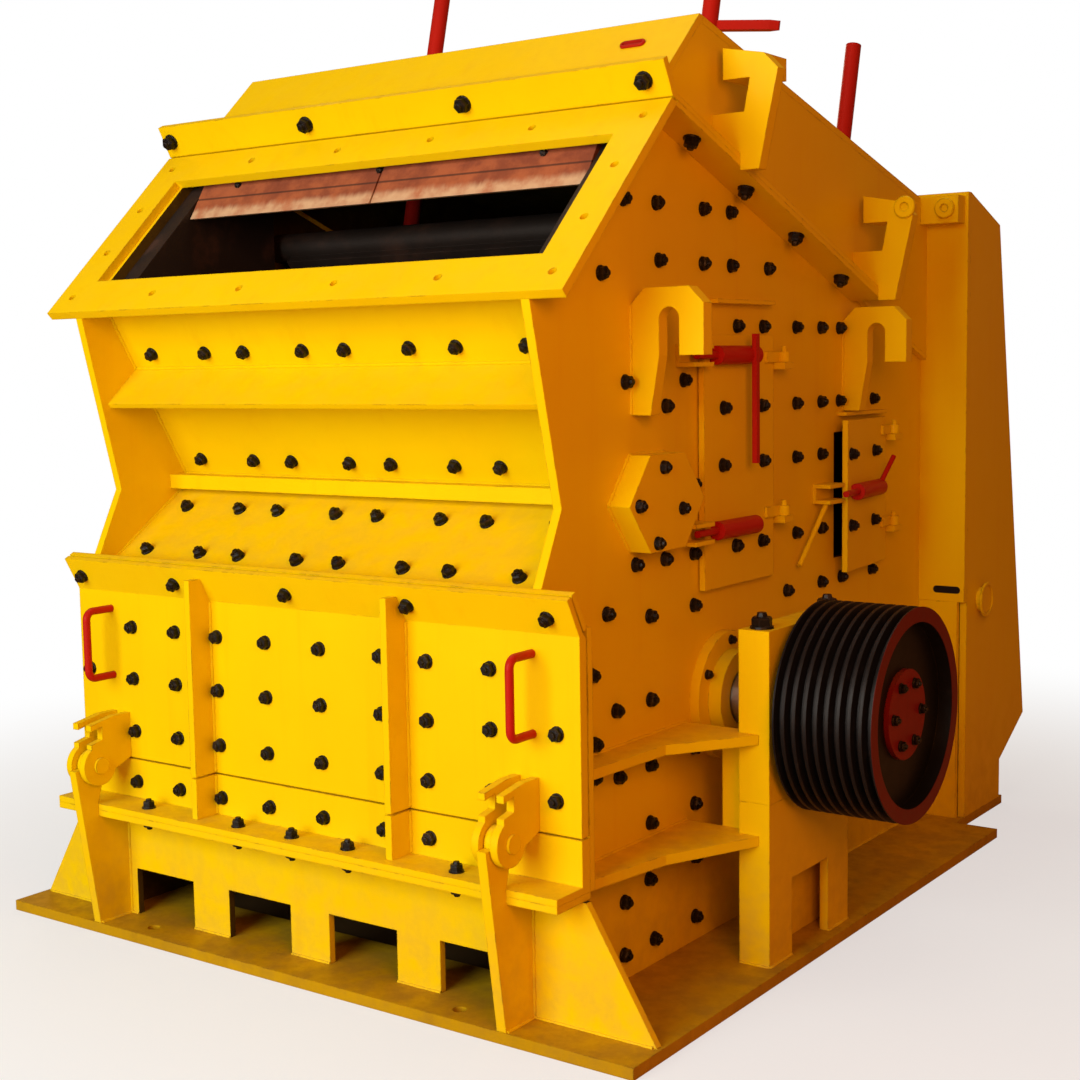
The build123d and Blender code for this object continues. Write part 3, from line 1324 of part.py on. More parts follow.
def rotor_body():
    """Rotor of discs on a tube, with the slots that hold the blow bars."""
    pitch = (2 * ROTOR_HALF_LENGTH - ROTOR_DISC) / (ROTOR_DISC_COUNT - 1)
    body = rod_x(ROTOR_Y, ROTOR_Z, ROTOR_TUBE_RADIUS, -ROTOR_HALF_LENGTH, ROTOR_HALF_LENGTH)
    for index in range(ROTOR_DISC_COUNT):
        low = pitch * index - ROTOR_HALF_LENGTH
        body += rod_x(ROTOR_Y, ROTOR_Z, ROTOR_DISC_RADIUS, low, low + ROTOR_DISC)
    body -= blow_bars()
    reach = ROTOR_HALF_LENGTH + OVERRUN
    return body - rod_x(ROTOR_Y, ROTOR_Z, SHAFT_RADIUS, -reach, reach)


def blow_bars():
    """Blow bars spaced evenly round the rotor."""
    bar = block(
        (-ROTOR_HALF_LENGTH, ROTOR_Y - BLOW_BAR_THICK / 2, ROTOR_Z + ROTOR_RADIUS - BLOW_BAR_DEPTH),
        (ROTOR_HALF_LENGTH, ROTOR_Y + BLOW_BAR_THICK / 2, ROTOR_Z + ROTOR_RADIUS),
    )
    axis = Axis((0, ROTOR_Y, ROTOR_Z), (1, 0, 0))
    bars = bar
    for index in range(1, BLOW_BAR_COUNT):
        bars += bar.rotate(axis, FULL_TURN_ANGLE / BLOW_BAR_COUNT * index)
    return bars


def shaft():
    """Rotor shaft from the left bearing to the pulley hub."""
    left_end = -PEDESTAL_OUTER_X - MOVING_GAP
    return rod_x(ROTOR_Y, ROTOR_Z, SHAFT_RADIUS, left_end, PULLEY_OUTER_X - PULLEY_DISH)


def pulley():
    """Grooved belt pulley with a dished outer face."""
    pitch = PULLEY_WIDTH / PULLEY_GROOVES
    land = pitch * PULLEY_LAND_SHARE
    flank = (pitch - 2 * land) / 2
    outline = [(0, SHAFT_RADIUS), (0, PULLEY_RADIUS)]
    for index in range(PULLEY_GROOVES):
        start = pitch * index
        outline += [
            (start + land / 2, PULLEY_RADIUS),
            (start + land / 2 + flank, PULLEY_RADIUS - PULLEY_GROOVE_DEPTH),
            (start + pitch - land / 2 - flank, PULLEY_RADIUS - PULLEY_GROOVE_DEPTH),
            (start + pitch - land / 2, PULLEY_RADIUS),
        ]
    rim = PULLEY_RADIUS - PULLEY_RIM
    outline += [
        (PULLEY_WIDTH, PULLEY_RADIUS),
        (PULLEY_WIDTH, rim),
        (PULLEY_WIDTH - PULLEY_DISH, rim),
        (PULLEY_WIDTH - PULLEY_DISH, SHAFT_RADIUS),
    ]
    plane = Plane(origin=(PULLEY_INNER_X, ROTOR_Y, ROTOR_Z), x_dir=(1, 0, 0), z_dir=(0, -1, 0))
    face = plane * make_face(Polyline(*outline, close=True))
    return revolve(face, Axis((PULLEY_INNER_X, ROTOR_Y, ROTOR_Z), (1, 0, 0)))


def pulley_hub():
    """Round hub disc clamped on the shaft end inside the pulley's dish."""
    low = PULLEY_OUTER_X - PULLEY_DISH
    return rod_x(ROTOR_Y, ROTOR_Z, HUB_RADIUS, low, low + HUB_PROUD)


def both_sides(shape):
    """A right-hand piece with its mirrored left-hand twin."""
    return shape + other_side(shape)


def pieces():
    """Every node of the machine by name."""
    left_post, right_post = post_places()
    low_clamp, high_clamp = [height_on(FRONT_HATCH, share) for share in FRONT_CLAMP_SHARES]
    rear_clamp = height_on(REAR_HATCH, REAR_CLAMP_SHARE)
    seats = None
    for x, y in rod_places():
        seats = rod_seat(x, y) if seats is None else seats + rod_seat(x, y)
    clamp_brackets = clamp_bracket(FRONT_HATCH_FRONT_Y, high_clamp)
    clamp_brackets += clamp_bracket(FRONT_HATCH_FRONT_Y, low_clamp)
    clamp_brackets += clamp_bracket(REAR_HATCH_FRONT_Y, rear_clamp)
    nodes = {
        "base_plate": base_plate(),
        "lower_front_wall": lower_front_wall(),
        "front_ledge": front_ledge(),
        "sill_panel": sill_panel(),
        "hinge_posts": hinge_post(left_post) + hinge_post(right_post),
        "hinge_pins": hinge_pin(left_post) + hinge_pin(right_post),
        "door_panel": door_panel(),
        "door_ribs": door_ribs(),
        "door_lugs": door_lugs(),
        "door_handles": door_handle(-HANDLE_X) + door_handle(HANDLE_X),
        "lip_flange": lip_flange(),
        "side_wall_right": right_side_wall(),
        "side_wall_left": other_side(side_wall()),
        "front_wall": front_wall(),
        "rain_rib": rain_rib(),
        "fold_bar": fold_bar(),
        "inlet_flange": inlet_flange(),
        "feed_curtain": feed_curtain(),
        "curtain_bar": curtain_bar(),
        "roof_flange": roof_flange(),
        "roof_front": roof_front(),
        "roof_plate": roof_plate(),
        "rear_portal": rear_portal(),
        "rear_wall": rear_wall(),
        "rear_roof": rear_roof(),
        "front_apron": front_apron(),
        "rear_apron": rear_apron(),
        "rod_seats": seats,
        "front_hatch": hatch_door(FRONT_HATCH),
        "front_hatch_clamps": clamp(FRONT_HATCH_FRONT_Y, high_clamp, True)
        + clamp(FRONT_HATCH_FRONT_Y, low_clamp, False),
        "rear_hatch": ajar(hatch_door(REAR_HATCH)),
        "rear_hatch_clamp": ajar(clamp(REAR_HATCH_FRONT_Y, rear_clamp, False)),
        "hatch_hinges": hatch_hinges(FRONT_HATCH) + hatch_hinges(REAR_HATCH),
        "clamp_brackets": clamp_brackets,
        "hatches_left": left_hatches(),
        "rotor_body": rotor_body(),
        "blow_bars": blow_bars(),
        "shaft": shaft(),
        "pulley": pulley(),
        "pulley_hub": pulley_hub(),
    }
    nodes["door_jambs"] = both_sides(jamb())
    nodes["feed_liners"] = both_sides(feed_liner())
    nodes["side_flanges"] = both_sides(side_flange())
    nodes["roof_sides"] = both_sides(roof_side())
    front_hook = side_hook(HOOK_FRONT_Y, HOOK_FRONT_TOP_Z)
    nodes["side_hooks"] = both_sides(front_hook + side_hook(HOOK_REAR_Y, HOOK_REAR_TOP_Z))
    nodes["roof_hooks"] = both_sides(roof_hook(ROOF_HOOK_FRONT_Y) + roof_hook(ROOF_HOOK_REAR_Y))
    nodes["pivot_covers"] = both_sides(pivot_cover())
    nodes["pedestals"] = both_sides(pedestal())
    nodes["bearing_housings"] = both_sides(bearing())
    nodes["gussets"] = both_sides(gussets())
    nodes["rear_sides"] = both_sides(rear_side())
    nodes["shaft_seals"] = both_sides(shaft_seal())
    nodes["rear_webs"] = both_sides(rear_web())
    nodes["rear_latches"] = both_sides(rear_latch())
    front_strip = rain_strip(FRONT_HATCH, FRONT_STRIP_Z)
    nodes["rain_strips"] = both_sides(front_strip + rain_strip(REAR_HATCH, REAR_STRIP_Z))
    nodes["adjusting_rods"] = both_sides(front_adjuster() + rear_adjuster())
    return nodes


def main():
    """Write one STEP file per node, with the origin at the plan centre of the base."""
    os.makedirs("parts", exist_ok=True)
    for name, shape in pieces().items():
        export_step(Pos(-CENTRE_X, -CENTRE_Y, 0) * shape, f"parts/{name}.step")


main()
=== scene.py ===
"""Looks of the impact crusher: enamel, castings, bolts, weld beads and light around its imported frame."""

import json
import logging
import math
from dataclasses import dataclass, field
from enum import Enum
from typing import Any, Dict, List, Optional, Sequence, Tuple, Union

import bpy
from mathutils import Matrix, Vector


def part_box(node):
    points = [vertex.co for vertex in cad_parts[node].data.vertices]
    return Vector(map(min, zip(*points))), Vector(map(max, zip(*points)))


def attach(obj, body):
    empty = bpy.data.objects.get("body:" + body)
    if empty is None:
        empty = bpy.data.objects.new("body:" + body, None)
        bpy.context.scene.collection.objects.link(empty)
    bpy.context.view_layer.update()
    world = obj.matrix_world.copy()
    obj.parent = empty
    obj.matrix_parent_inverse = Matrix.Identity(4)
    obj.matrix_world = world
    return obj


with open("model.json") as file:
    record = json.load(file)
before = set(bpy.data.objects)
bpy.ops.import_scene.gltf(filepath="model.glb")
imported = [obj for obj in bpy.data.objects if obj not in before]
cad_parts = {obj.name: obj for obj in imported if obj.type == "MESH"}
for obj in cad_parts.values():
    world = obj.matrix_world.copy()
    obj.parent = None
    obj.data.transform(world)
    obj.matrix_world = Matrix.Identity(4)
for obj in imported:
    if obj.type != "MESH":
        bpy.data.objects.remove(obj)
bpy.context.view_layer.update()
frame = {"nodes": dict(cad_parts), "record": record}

LOG = logging.getLogger("crusher")
Colour = Tuple[float, float, float]
Place = Tuple[float, float, float]
Pair = Tuple[float, float]
Row = Tuple[float, Sequence[float]]
Number = Union[int, float, "Value"]

# Sizes on the drawing, in metres: X across, Y back from the door's face, Z up from the floor.
# A pair is a place in Y and Z.
HALF_WIDTH = 0.8
BED_TOP = 0.03
SHAFT = (0.85, 0.7)
FOLD = (0.34, 1.29)
INLET_FOOT = (-0.064, 1.796)
INLET_LENGTH = 0.694
CHAMBER_MIDDLE = (0.0, 0.95, 1.1)
MACHINE_MIDDLE = (0.0, 1.0, 1.2)
HATCH_HINGE_X = 0.84
REAR_HATCH_HINGE_Y = 1.939

# Slopes of the plates, above +Y; the roof joint falls towards the rear.
LIP_ANGLE = math.radians(118)
UPPER_PANEL_ANGLE = math.radians(119.6)
LOWER_PANEL_ANGLE = math.radians(34.7)
INLET_ANGLE = math.radians(44.56)
ROOF_FRONT_ANGLE = math.radians(43.7)
JOINT_ANGLE = math.radians(20)

# The rear inspection door rests a little open.
REAR_SWING = Matrix.Rotation(math.radians(6), 3, "Z")


def machine_origin() -> Vector:
    """Finds where the drawing's origin lies in the frame.

    Returns:
        The point at the door's face, in the middle of the housing, on the floor.
    """
    low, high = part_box("lower_front_wall")
    return Vector(((low.x + high.x) / 2, low.y, 0.0))


ORIGIN = machine_origin()


def at(x: float, y: float, z: float) -> Vector:
    """Turns a place on the drawing into a place in the frame."""
    return ORIGIN + Vector((x, y, z))


def heading(angle: float) -> Pair:
    """Gives the unit step in Y and Z at an angle above +Y."""
    return math.cos(angle), math.sin(angle)


def swung(place: Vector) -> Vector:
    """Turns a place on the closed rear inspection door to where the door rests."""
    hinge = at(HATCH_HINGE_X, REAR_HATCH_HINGE_Y, 0)
    return hinge + REAR_SWING @ (place - hinge)


class Body(Enum):
    """Moving groups of the machine."""

    HOUSING = "housing"
    ROTOR = "rotor"
    FRONT_DOOR = "front_door"
    FRONT_HATCH = "front_hatch"
    REAR_HATCH = "rear_hatch"


class Value:
    """A number socket; arithmetic on it adds Math nodes to its tree."""

    def __init__(self, book: "Book", socket: bpy.types.NodeSocket) -> None:
        """Keeps the tree's book and the socket."""
        self.book = book
        self.socket = socket

    def _math(self, operation: str, first: Number, second: Number) -> "Value":
        """Adds one Math node on two numbers or sockets."""
        return self.book.value("ShaderNodeMath", {"operation": operation}, {0: first, 1: second})

    def __add__(self, other: Number) -> "Value":
        """Adds."""
        return self._math("ADD", self, other)

    def __radd__(self, other: Number) -> "Value":
        """Adds, reflected."""
        return self._math("ADD", other, self)

    def __sub__(self, other: Number) -> "Value":
        """Takes away."""
        return self._math("SUBTRACT", self, other)

    def __rsub__(self, other: Number) -> "Value":
        """Takes away, reflected."""
        return self._math("SUBTRACT", other, self)

    def __mul__(self, other: Number) -> "Value":
        """Multiplies."""
        return self._math("MULTIPLY", self, other)

    def __rmul__(self, other: Number) -> "Value":
        """Multiplies, reflected."""
        return self._math("MULTIPLY", other, self)

    def __abs__(self) -> "Value":
        """Drops the sign."""
        return self._math("ABSOLUTE", self, 0.0)

    def smooth(self, low: float, high: float) -> "Value":
        """Maps the span from low to high onto 0 to 1 with soft ends."""
        sockets = {"Value": self, "From Min": low, "From Max": high}
        return self.book.value("ShaderNodeMapRange", {"interpolation_type": "SMOOTHSTEP"}, sockets)

    def largest(self, other: Number) -> "Value":
        """Takes the larger of two numbers."""
        return self._math("MAXIMUM", self, other)


class Book:
    """Adds nodes to one tree."""

    def __init__(self, tree: bpy.types.NodeTree) -> None:
        """Keeps the tree."""
        self.tree = tree

    def feed(self, socket: bpy.types.NodeSocket, source: Any) -> None:
        """Links a socket to a source, or sets it to a plain value.

        Args:
            socket: The input.
            source: A number socket, any other socket or a plain value.
        """
        if isinstance(source, Value):
            source = source.socket
        if isinstance(source, bpy.types.NodeSocket):
            self.tree.links.new(source, socket)
        else:
            socket.default_value = source

    def node(
        self,
        kind: str,
        settings: Optional[Dict[str, Any]] = None,
        sockets: Optional[Dict[Any, Any]] = None,
    ) -> bpy.types.Node:
        """Adds a node.

        Args:
            kind: The node's type.
            settings: Values of the node itself, set first.
            sockets: Values or links of its inputs, by name or place.

        Returns:
            The new node.
        """
        made = self.tree.nodes.new(kind)
        for name, value in (settings or {}).items():
            setattr(made, name, value)
        for key, source in (sockets or {}).items():
            self.feed(made.inputs[key], source)
        return made

    def out(
        self,
        kind: str,
        settings: Optional[Dict[str, Any]] = None,
        sockets: Optional[Dict[Any, Any]] = None,
        output: Union[int, str] = 0,
    ) -> bpy.types.NodeSocket:
        """Adds a node and gives one of its outputs."""
        return self.node(kind, settings, sockets).outputs[output]

    def value(
        self,
        kind: str,
        settings: Optional[Dict[str, Any]] = None,
        sockets: Optional[Dict[Any, Any]] = None,
        output: Union[int, str] = 0,
    ) -> Value:
        """Adds a node and gives one of its outputs as a number."""
        return Value(self, self.out(kind, settings, sockets, output))


class Surface(Book):
    """Node tree of one material, with the patterns that the finishes share."""

    def __init__(self, name: str) -> None:
        """Starts an empty material that knows place and direction.

        Args:
            name: The material's name.
        """
        self.material = bpy.data.materials.new(name)
        self.material.use_nodes = True
        super().__init__(self.material.node_tree)
        self.tree.nodes.clear()
        coordinates = self.node("ShaderNodeTexCoord")
        self.place = coordinates.outputs["Object"]
        self.facing = coordinates.outputs["Normal"]

    def noise(self, scale: float, detail: float = 3.0, stretch: Optional[Place] = None) -> Value:
        """Adds a noise pattern.

        Args:
            scale: Cells in a metre.
            detail: How many finer layers it has.
            stretch: Scale along X, Y and Z where the pattern runs one way.

        Returns:
            The pattern, from 0 to 1.
        """
        place = self.place
        if stretch:
            place = self.out("ShaderNodeMapping", {}, {"Vector": place, "Scale": stretch})
        sockets = {"Vector": place, "Scale": scale, "Detail": detail, "Roughness": 0.6}
        return self.value("ShaderNodeTexNoise", {}, sockets)

    def axis(self, vector: bpy.types.NodeSocket, letter: str) -> Value:
        """Takes one part of a vector."""
        return self.value("ShaderNodeSeparateXYZ", {}, {0: vector}, letter)

    def dot(self, first: Any, second: Any) -> Value:
        """Multiplies two vectors into a number."""
        settings = {"operation": "DOT_PRODUCT"}
        return self.value("ShaderNodeVectorMath", settings, {0: first, 1: second}, "Value")

    def mix(self, first: Any, second: Any, factor: Number) -> bpy.types.NodeSocket:
        """Mixes two colours.

        Args:
            first: Colour at factor 0, plain or a socket.
            second: Colour at factor 1, plain or a socket.
            factor: Share of the second colour.

        Returns:
            The mixed colour.
        """
        sources = [c if isinstance(c, bpy.types.NodeSocket) else (*c, 1.0) for c in (first, second)]
        sockets = {0: factor, 6: sources[0], 7: sources[1]}
        return self.out("ShaderNodeMix", {"data_type": "RGBA"}, sockets, 2)

    def rounded(self, radius: float) -> Tuple[bpy.types.NodeSocket, Value]:
        """Rounds edges in the shading.

        Args:
            radius: Reach of the rounding, in metres.

        Returns:
            The rounded normal, and a mask of the edges.
        """
        soft = self.out("ShaderNodeBevel", {"samples": 2}, {"Radius": radius})
        sharp = self.out("ShaderNodeNewGeometry", {}, {}, "Normal")
        return soft, (1 - self.dot(soft, sharp)).smooth(0.01, 0.2)

    def shade(
        self,
        colour: Any,
        roughness: Any,
        height: Value,
        depth: float,
        normal: bpy.types.NodeSocket,
        metal: Any = 0.0,
        coat: float = 0.0,
        shine: float = 0.5,
        gleam: Colour = (1.0, 1.0, 1.0),
    ) -> bpy.types.Material:
        """Adds the shader.

        Args:
            colour: Base colour.
            roughness: Roughness.
            height: Relief of the surface, from 0 to 1.
            depth: How deep the relief is, in metres.
            normal: Normal that the relief starts from.
            metal: How metallic it is.
            coat: Weight of the clear coat.
            shine: Strength of the plain reflection.
            gleam: Tint of the reflections.

        Returns:
            The finished material.
        """
        relief = {"Height": height, "Distance": depth, "Strength": 1.0, "Normal": normal}
        bump = self.out("ShaderNodeBump", {}, relief)
        sockets = {
            "Base Color": colour,
            "Roughness": roughness,
            "Metallic": metal,
            "Coat Weight": coat,
            "Coat Roughness": 0.18,
            "Coat Tint": (*gleam, 1.0),
            "Specular IOR Level": shine,
            "Specular Tint": (*gleam, 1.0),
            "Normal": bump,
        }
        shader = self.out("ShaderNodeBsdfPrincipled", {}, sockets)
        self.node("ShaderNodeOutputMaterial", {}, {"Surface": shader})
        return self.material


@dataclass(frozen=True)
class Enamel:
    """Sprayed machine enamel with drips, chipped edges and settled dust; lined copies turn the inside faces
    near-black as a dark lining and painted shade.
    """

    name: str
    colour: Colour
    shadow: Colour
    chip: Colour = (0.09, 0.035, 0.012)
    dust: Colour = (0.34, 0.22, 0.09)
    roughness: float = 0.4
    coat: float = 0.05
    shine: float = 0.22
    gleam: Colour = (1.0, 0.72, 0.12)
    # Near-black for the inside faces: partly a dark lining, partly painted shade of the housing's dark
    # inside.
    lining_shade: Optional[Colour] = None
    edge_reach: float = 0.005
    relief_depth: float = 0.0012
    dust_height: float = 0.5

    def inner(self, surface: Surface) -> Value:
        """Masks the faces that look into the housing, behind the folded front wall, where the dark lining
        and painted shade go.

        Args:
            surface: Material that the mask is for.

        Returns:
            The mask, 1 on the inside.
        """
        ends = {0: at(*CHAMBER_MIDDLE), 1: surface.place}
        inward = surface.out("ShaderNodeVectorMath", {"operation": "SUBTRACT"}, ends)
        toward = surface.dot(inward, surface.facing)
        above = surface.axis(surface.place, "Z") - FOLD[1]
        behind = surface.axis(surface.place, "Y") - at(0, FOLD[0], 0).y
        upper, lower = (1 / math.tan(angle) for angle in (UPPER_PANEL_ANGLE, LOWER_PANEL_ANGLE))
        fold = (above * -upper).largest(above * -lower)
        return toward.smooth(0.0, 0.04) * (behind + fold).smooth(-0.002, 0.002)

    def material(self) -> bpy.types.Material:
        """Builds the finish.

        Returns:
            The enamel material.
        """
        surface = Surface(self.name)
        normal, edge = surface.rounded(self.edge_reach)
        cloud = surface.noise(1.7)
        patch = surface.noise(16.0, 5.0)
        streak = surface.noise(1.0, 4.0, (19.0, 19.0, 1.1))
        peel = surface.noise(260.0, 1.0)
        height = surface.axis(surface.place, "Z")
        level = surface.axis(surface.facing, "Z")
        low = 1 - height.smooth(0.0, self.dust_height)
        dusty = (low * 0.55 + level.smooth(0.6, 0.95) * 0.45) * patch.smooth(0.3, 0.75)
        chipped = edge * patch.smooth(0.53, 0.62)
        tone = cloud.smooth(0.3, 0.75) * 0.55 + streak.smooth(0.5, 0.8) * 0.45
        colour = surface.mix(self.colour, self.shadow, tone)
        colour = surface.mix(colour, self.dust, dusty * 0.5)
        colour = surface.mix(colour, self.chip, chipped * 0.85)
        rough = patch * 0.12 + dusty * 0.35 + (self.roughness - 0.05)
        # Inside faces turn near-black: a dark lining and painted shade of the housing's dark inside.
        if self.lining_shade:
            inside = self.inner(surface)
            colour = surface.mix(colour, self.lining_shade, inside * (0.9 + patch * 0.1))
            rough = rough + inside * 0.3
        return surface.shade(
            colour, rough, peel * 0.25 + cloud * 0.75, self.relief_depth, normal,
            coat=self.coat, shine=self.shine, gleam=self.gleam,
        )


@dataclass(frozen=True)
class Casting:
    """Dark worn casting with patches of rust and rubbed edges."""

    name: str
    colour: Colour
    rust: Colour
    rubbed: Colour = (0.34, 0.31, 0.28)
    roughness: float = 0.62
    rust_share: float = 0.5
    metal: float = 0.35
    edge_reach: float = 0.004
    relief_depth: float = 0.0015

    def material(self) -> bpy.types.Material:
        """Builds the finish.

        Returns:
            The casting material.
        """
        surface = Surface(self.name)
        normal, edge = surface.rounded(self.edge_reach)
        patch = surface.noise(7.0, 6.0)
        grain = surface.noise(120.0, 4.0)
        rusty = patch.smooth(0.62 - self.rust_share * 0.3, 0.75)
        colour = surface.mix(self.colour, self.rust, rusty * 0.85)
        worn = edge * grain.smooth(0.35, 0.6)
        colour = surface.mix(colour, self.rubbed, worn * 0.6)
        rough = grain * 0.15 + rusty * 0.15 + (self.roughness - 0.1)
        metal = (1 - rusty) * self.metal + worn * 0.3
        relief = grain * 0.6 + patch * 0.4
        return surface.shade(colour, rough, relief, self.relief_depth, normal, metal)


@dataclass(frozen=True)
class Curtain:
    """Rusty hanging plate, whitened with stone dust along its lower edge."""

    name: str
    colour: Colour
    rust: Colour
    dust: Colour
    seam: Colour
    dust_low: float
    dust_high: float
    seam_rise: float = 0.004
    edge_reach: float = 0.003
    relief_depth: float = 0.002

    def material(self) -> bpy.types.Material:
        """Builds the finish.

        Returns:
            The curtain material.
        """
        surface = Surface(self.name)
        normal, edge = surface.rounded(self.edge_reach)
        patch = surface.noise(12.0, 6.0)
        grain = surface.noise(90.0, 4.0)
        drip = surface.noise(1.0, 4.0, (40.0, 12.0, 4.0))
        height = surface.axis(surface.place, "Z")
        clean = (height + drip * 0.03).smooth(self.dust_low, self.dust_high)
        chalk = (1 - clean) * patch.smooth(0.25, 0.6)
        colour = surface.mix(self.colour, self.rust, patch.smooth(0.35, 0.65))
        colour = surface.mix(colour, self.dust, chalk * 0.8)
        seam = 1 - abs(height - (self.dust_high + self.seam_rise)).smooth(0.0015, 0.004)
        colour = surface.mix(colour, self.seam, seam * 0.8)
        rough = grain * 0.2 + edge * 0.05 + 0.62
        relief = grain * 0.5 + patch * 0.5
        return surface.shade(colour, rough, relief, self.relief_depth, normal)


@dataclass(frozen=True)
class Turned:
    """Bare turned steel with fine rings round the machine's cross axis."""

    name: str
    colour: Colour
    stain: Colour
    roughness: float = 0.34
    edge_reach: float = 0.002
    relief_depth: float = 0.0004

    def material(self) -> bpy.types.Material:
        """Builds the finish.

        Returns:
            The steel material.
        """
        surface = Surface(self.name)
        normal, edge = surface.rounded(self.edge_reach)
        ring = surface.noise(1.0, 3.0, (620.0, 9.0, 9.0))
        patch = surface.noise(18.0, 5.0)
        stained = patch.smooth(0.5, 0.75)
        colour = surface.mix(self.colour, self.stain, stained * 0.7)
        rough = ring * 0.18 + stained * 0.2 + edge * 0.05 + (self.roughness - 0.09)
        return surface.shade(colour, rough, ring, self.relief_depth, normal, 1 - stained * 0.5)


@dataclass(frozen=True)
class Pulley:
    """Black pulley coat with rubbed groove flanks and a dark red rim face."""

    name: str
    colour: Colour
    rubbed: Colour
    rim: Colour
    rim_start: float
    rim_blend: float = 0.0005
    shine: float = 0.2
    edge_reach: float = 0.003
    relief_depth: float = 0.0008

    def material(self) -> bpy.types.Material:
        """Builds the finish.

        Returns:
            The pulley material.
        """
        surface = Surface(self.name)
        normal, edge = surface.rounded(self.edge_reach)
        patch = surface.noise(22.0, 5.0)
        ring = surface.noise(1.0, 3.0, (300.0, 14.0, 14.0))
        across = surface.axis(surface.place, "X")
        outer = across.smooth(self.rim_start, self.rim_start + self.rim_blend)
        worn = edge * ring.smooth(0.35, 0.6)
        colour = surface.mix(self.colour, self.rubbed, worn * 0.4 + patch.smooth(0.55, 0.8) * 0.1)
        colour = surface.mix(colour, self.rim, outer * (0.75 + patch * 0.25))
        rough = patch * 0.2 + ring * 0.1 + 0.28
        relief = ring * 0.4 + patch * 0.6
        return surface.shade(
            colour, rough, relief, self.relief_depth, normal, worn * 0.5, shine=self.shine
        )


class Finishes:
    """Every material of the machine, and the nodes that wear it."""

    YELLOW = (0.8, 0.62, 0.001)
    YELLOW_SHADOW = (0.77, 0.54, 0.001)
    # Near-black of the inside faces: a dark lining and painted shade of the housing's dark inside.
    LINING_SHADE = (0.018, 0.011, 0.008)
    RED = (0.42, 0.013, 0.008)
    RED_SHADOW = (0.34, 0.012, 0.008)
    RED_GLEAM = (1.0, 0.3, 0.2)
    RIM_RED = (0.13, 0.007, 0.007)
    RIM_DEPTH = 0.001
    CURTAIN_HEM = 0.03
    # Nodes whose inside faces get the dark lining and painted shade.
    LINED_SHADED = (
        "side_wall_right", "side_wall_left", "front_wall", "roof_front", "roof_plate", "roof_sides",
        "rear_wall", "rear_roof", "lower_front_wall", "door_panel",
    )

    def __init__(self) -> None:
        """Builds the materials."""
        rim_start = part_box("pulley")[1].x - self.RIM_DEPTH
        curtain_low, curtain_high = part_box("feed_curtain")
        self.yellow = Enamel("yellow_enamel", self.YELLOW, self.YELLOW_SHADOW).material()
        # Yellow enamel whose inside faces are darkened as lining and painted shade.
        self.lined_shaded = Enamel(
            "yellow_enamel_lined_shaded", self.YELLOW, self.YELLOW_SHADOW, lining_shade=self.LINING_SHADE
        ).material()
        # The base plate wears a darker copy of the yellow enamel.
        self.darker_base = Enamel(
            "darker_base_enamel", (0.5, 0.33, 0.004), (0.36, 0.22, 0.004), dust=(0.2, 0.12, 0.03)
        ).material()
        self.red = Enamel(
            "red_enamel", self.RED, self.RED_SHADOW, chip=(0.06, 0.03, 0.02), gleam=self.RED_GLEAM
        ).material()
        self.hub = Enamel(
            "hub_enamel", (0.19, 0.01, 0.009), (0.12, 0.007, 0.007), gleam=self.RED_GLEAM
        ).material()
        self.pulley = Pulley(
            "pulley_coat", (0.005, 0.005, 0.0055), (0.07, 0.065, 0.06), self.RIM_RED, rim_start
        ).material()
        self.casting = Casting(
            "worn_casting", (0.02, 0.014, 0.011), (0.05, 0.018, 0.008), rubbed=(0.1, 0.08, 0.07)
        ).material()
        self.bolt = Casting(
            "black_bolt", (0.007, 0.007, 0.008), (0.02, 0.012, 0.008), rubbed=(0.11, 0.1, 0.09),
            roughness=0.42, rust_share=0.1, metal=0.6,
        ).material()
        self.steel = Turned("turned_steel", (0.42, 0.4, 0.37), (0.16, 0.09, 0.05)).material()
        self.curtain = Curtain(
            "dusty_curtain", (0.34, 0.1, 0.035), (0.2, 0.05, 0.02),
            dust=(0.6, 0.45, 0.27), seam=(0.04, 0.012, 0.008),
            dust_low=curtain_low.z + self.CURTAIN_HEM, dust_high=(curtain_low.z + curtain_high.z) / 2,
        ).material()
        self.slots = {
            "yellow_paint": self.yellow,
            "red_paint": self.red,
            "black_iron": self.pulley,
            "worn_steel": self.casting,
            "rusty_steel": self.curtain,
            "bare_steel": self.steel,
        }
        self.special = {name: self.lined_shaded for name in self.LINED_SHADED}
        self.special.update(pulley_hub=self.hub, base_plate=self.darker_base)

    def dress(self) -> None:
        """Gives every CAD node its material."""
        for part in frame["record"]["subparts"]:
            node = frame["nodes"][part["node"]]
            material = self.special.get(part["node"], self.slots[part["material_slot"]])
            node.data.materials.clear()
            node.data.materials.append(material)
            LOG.info("dressed %s with %s", part["node"], material.name)


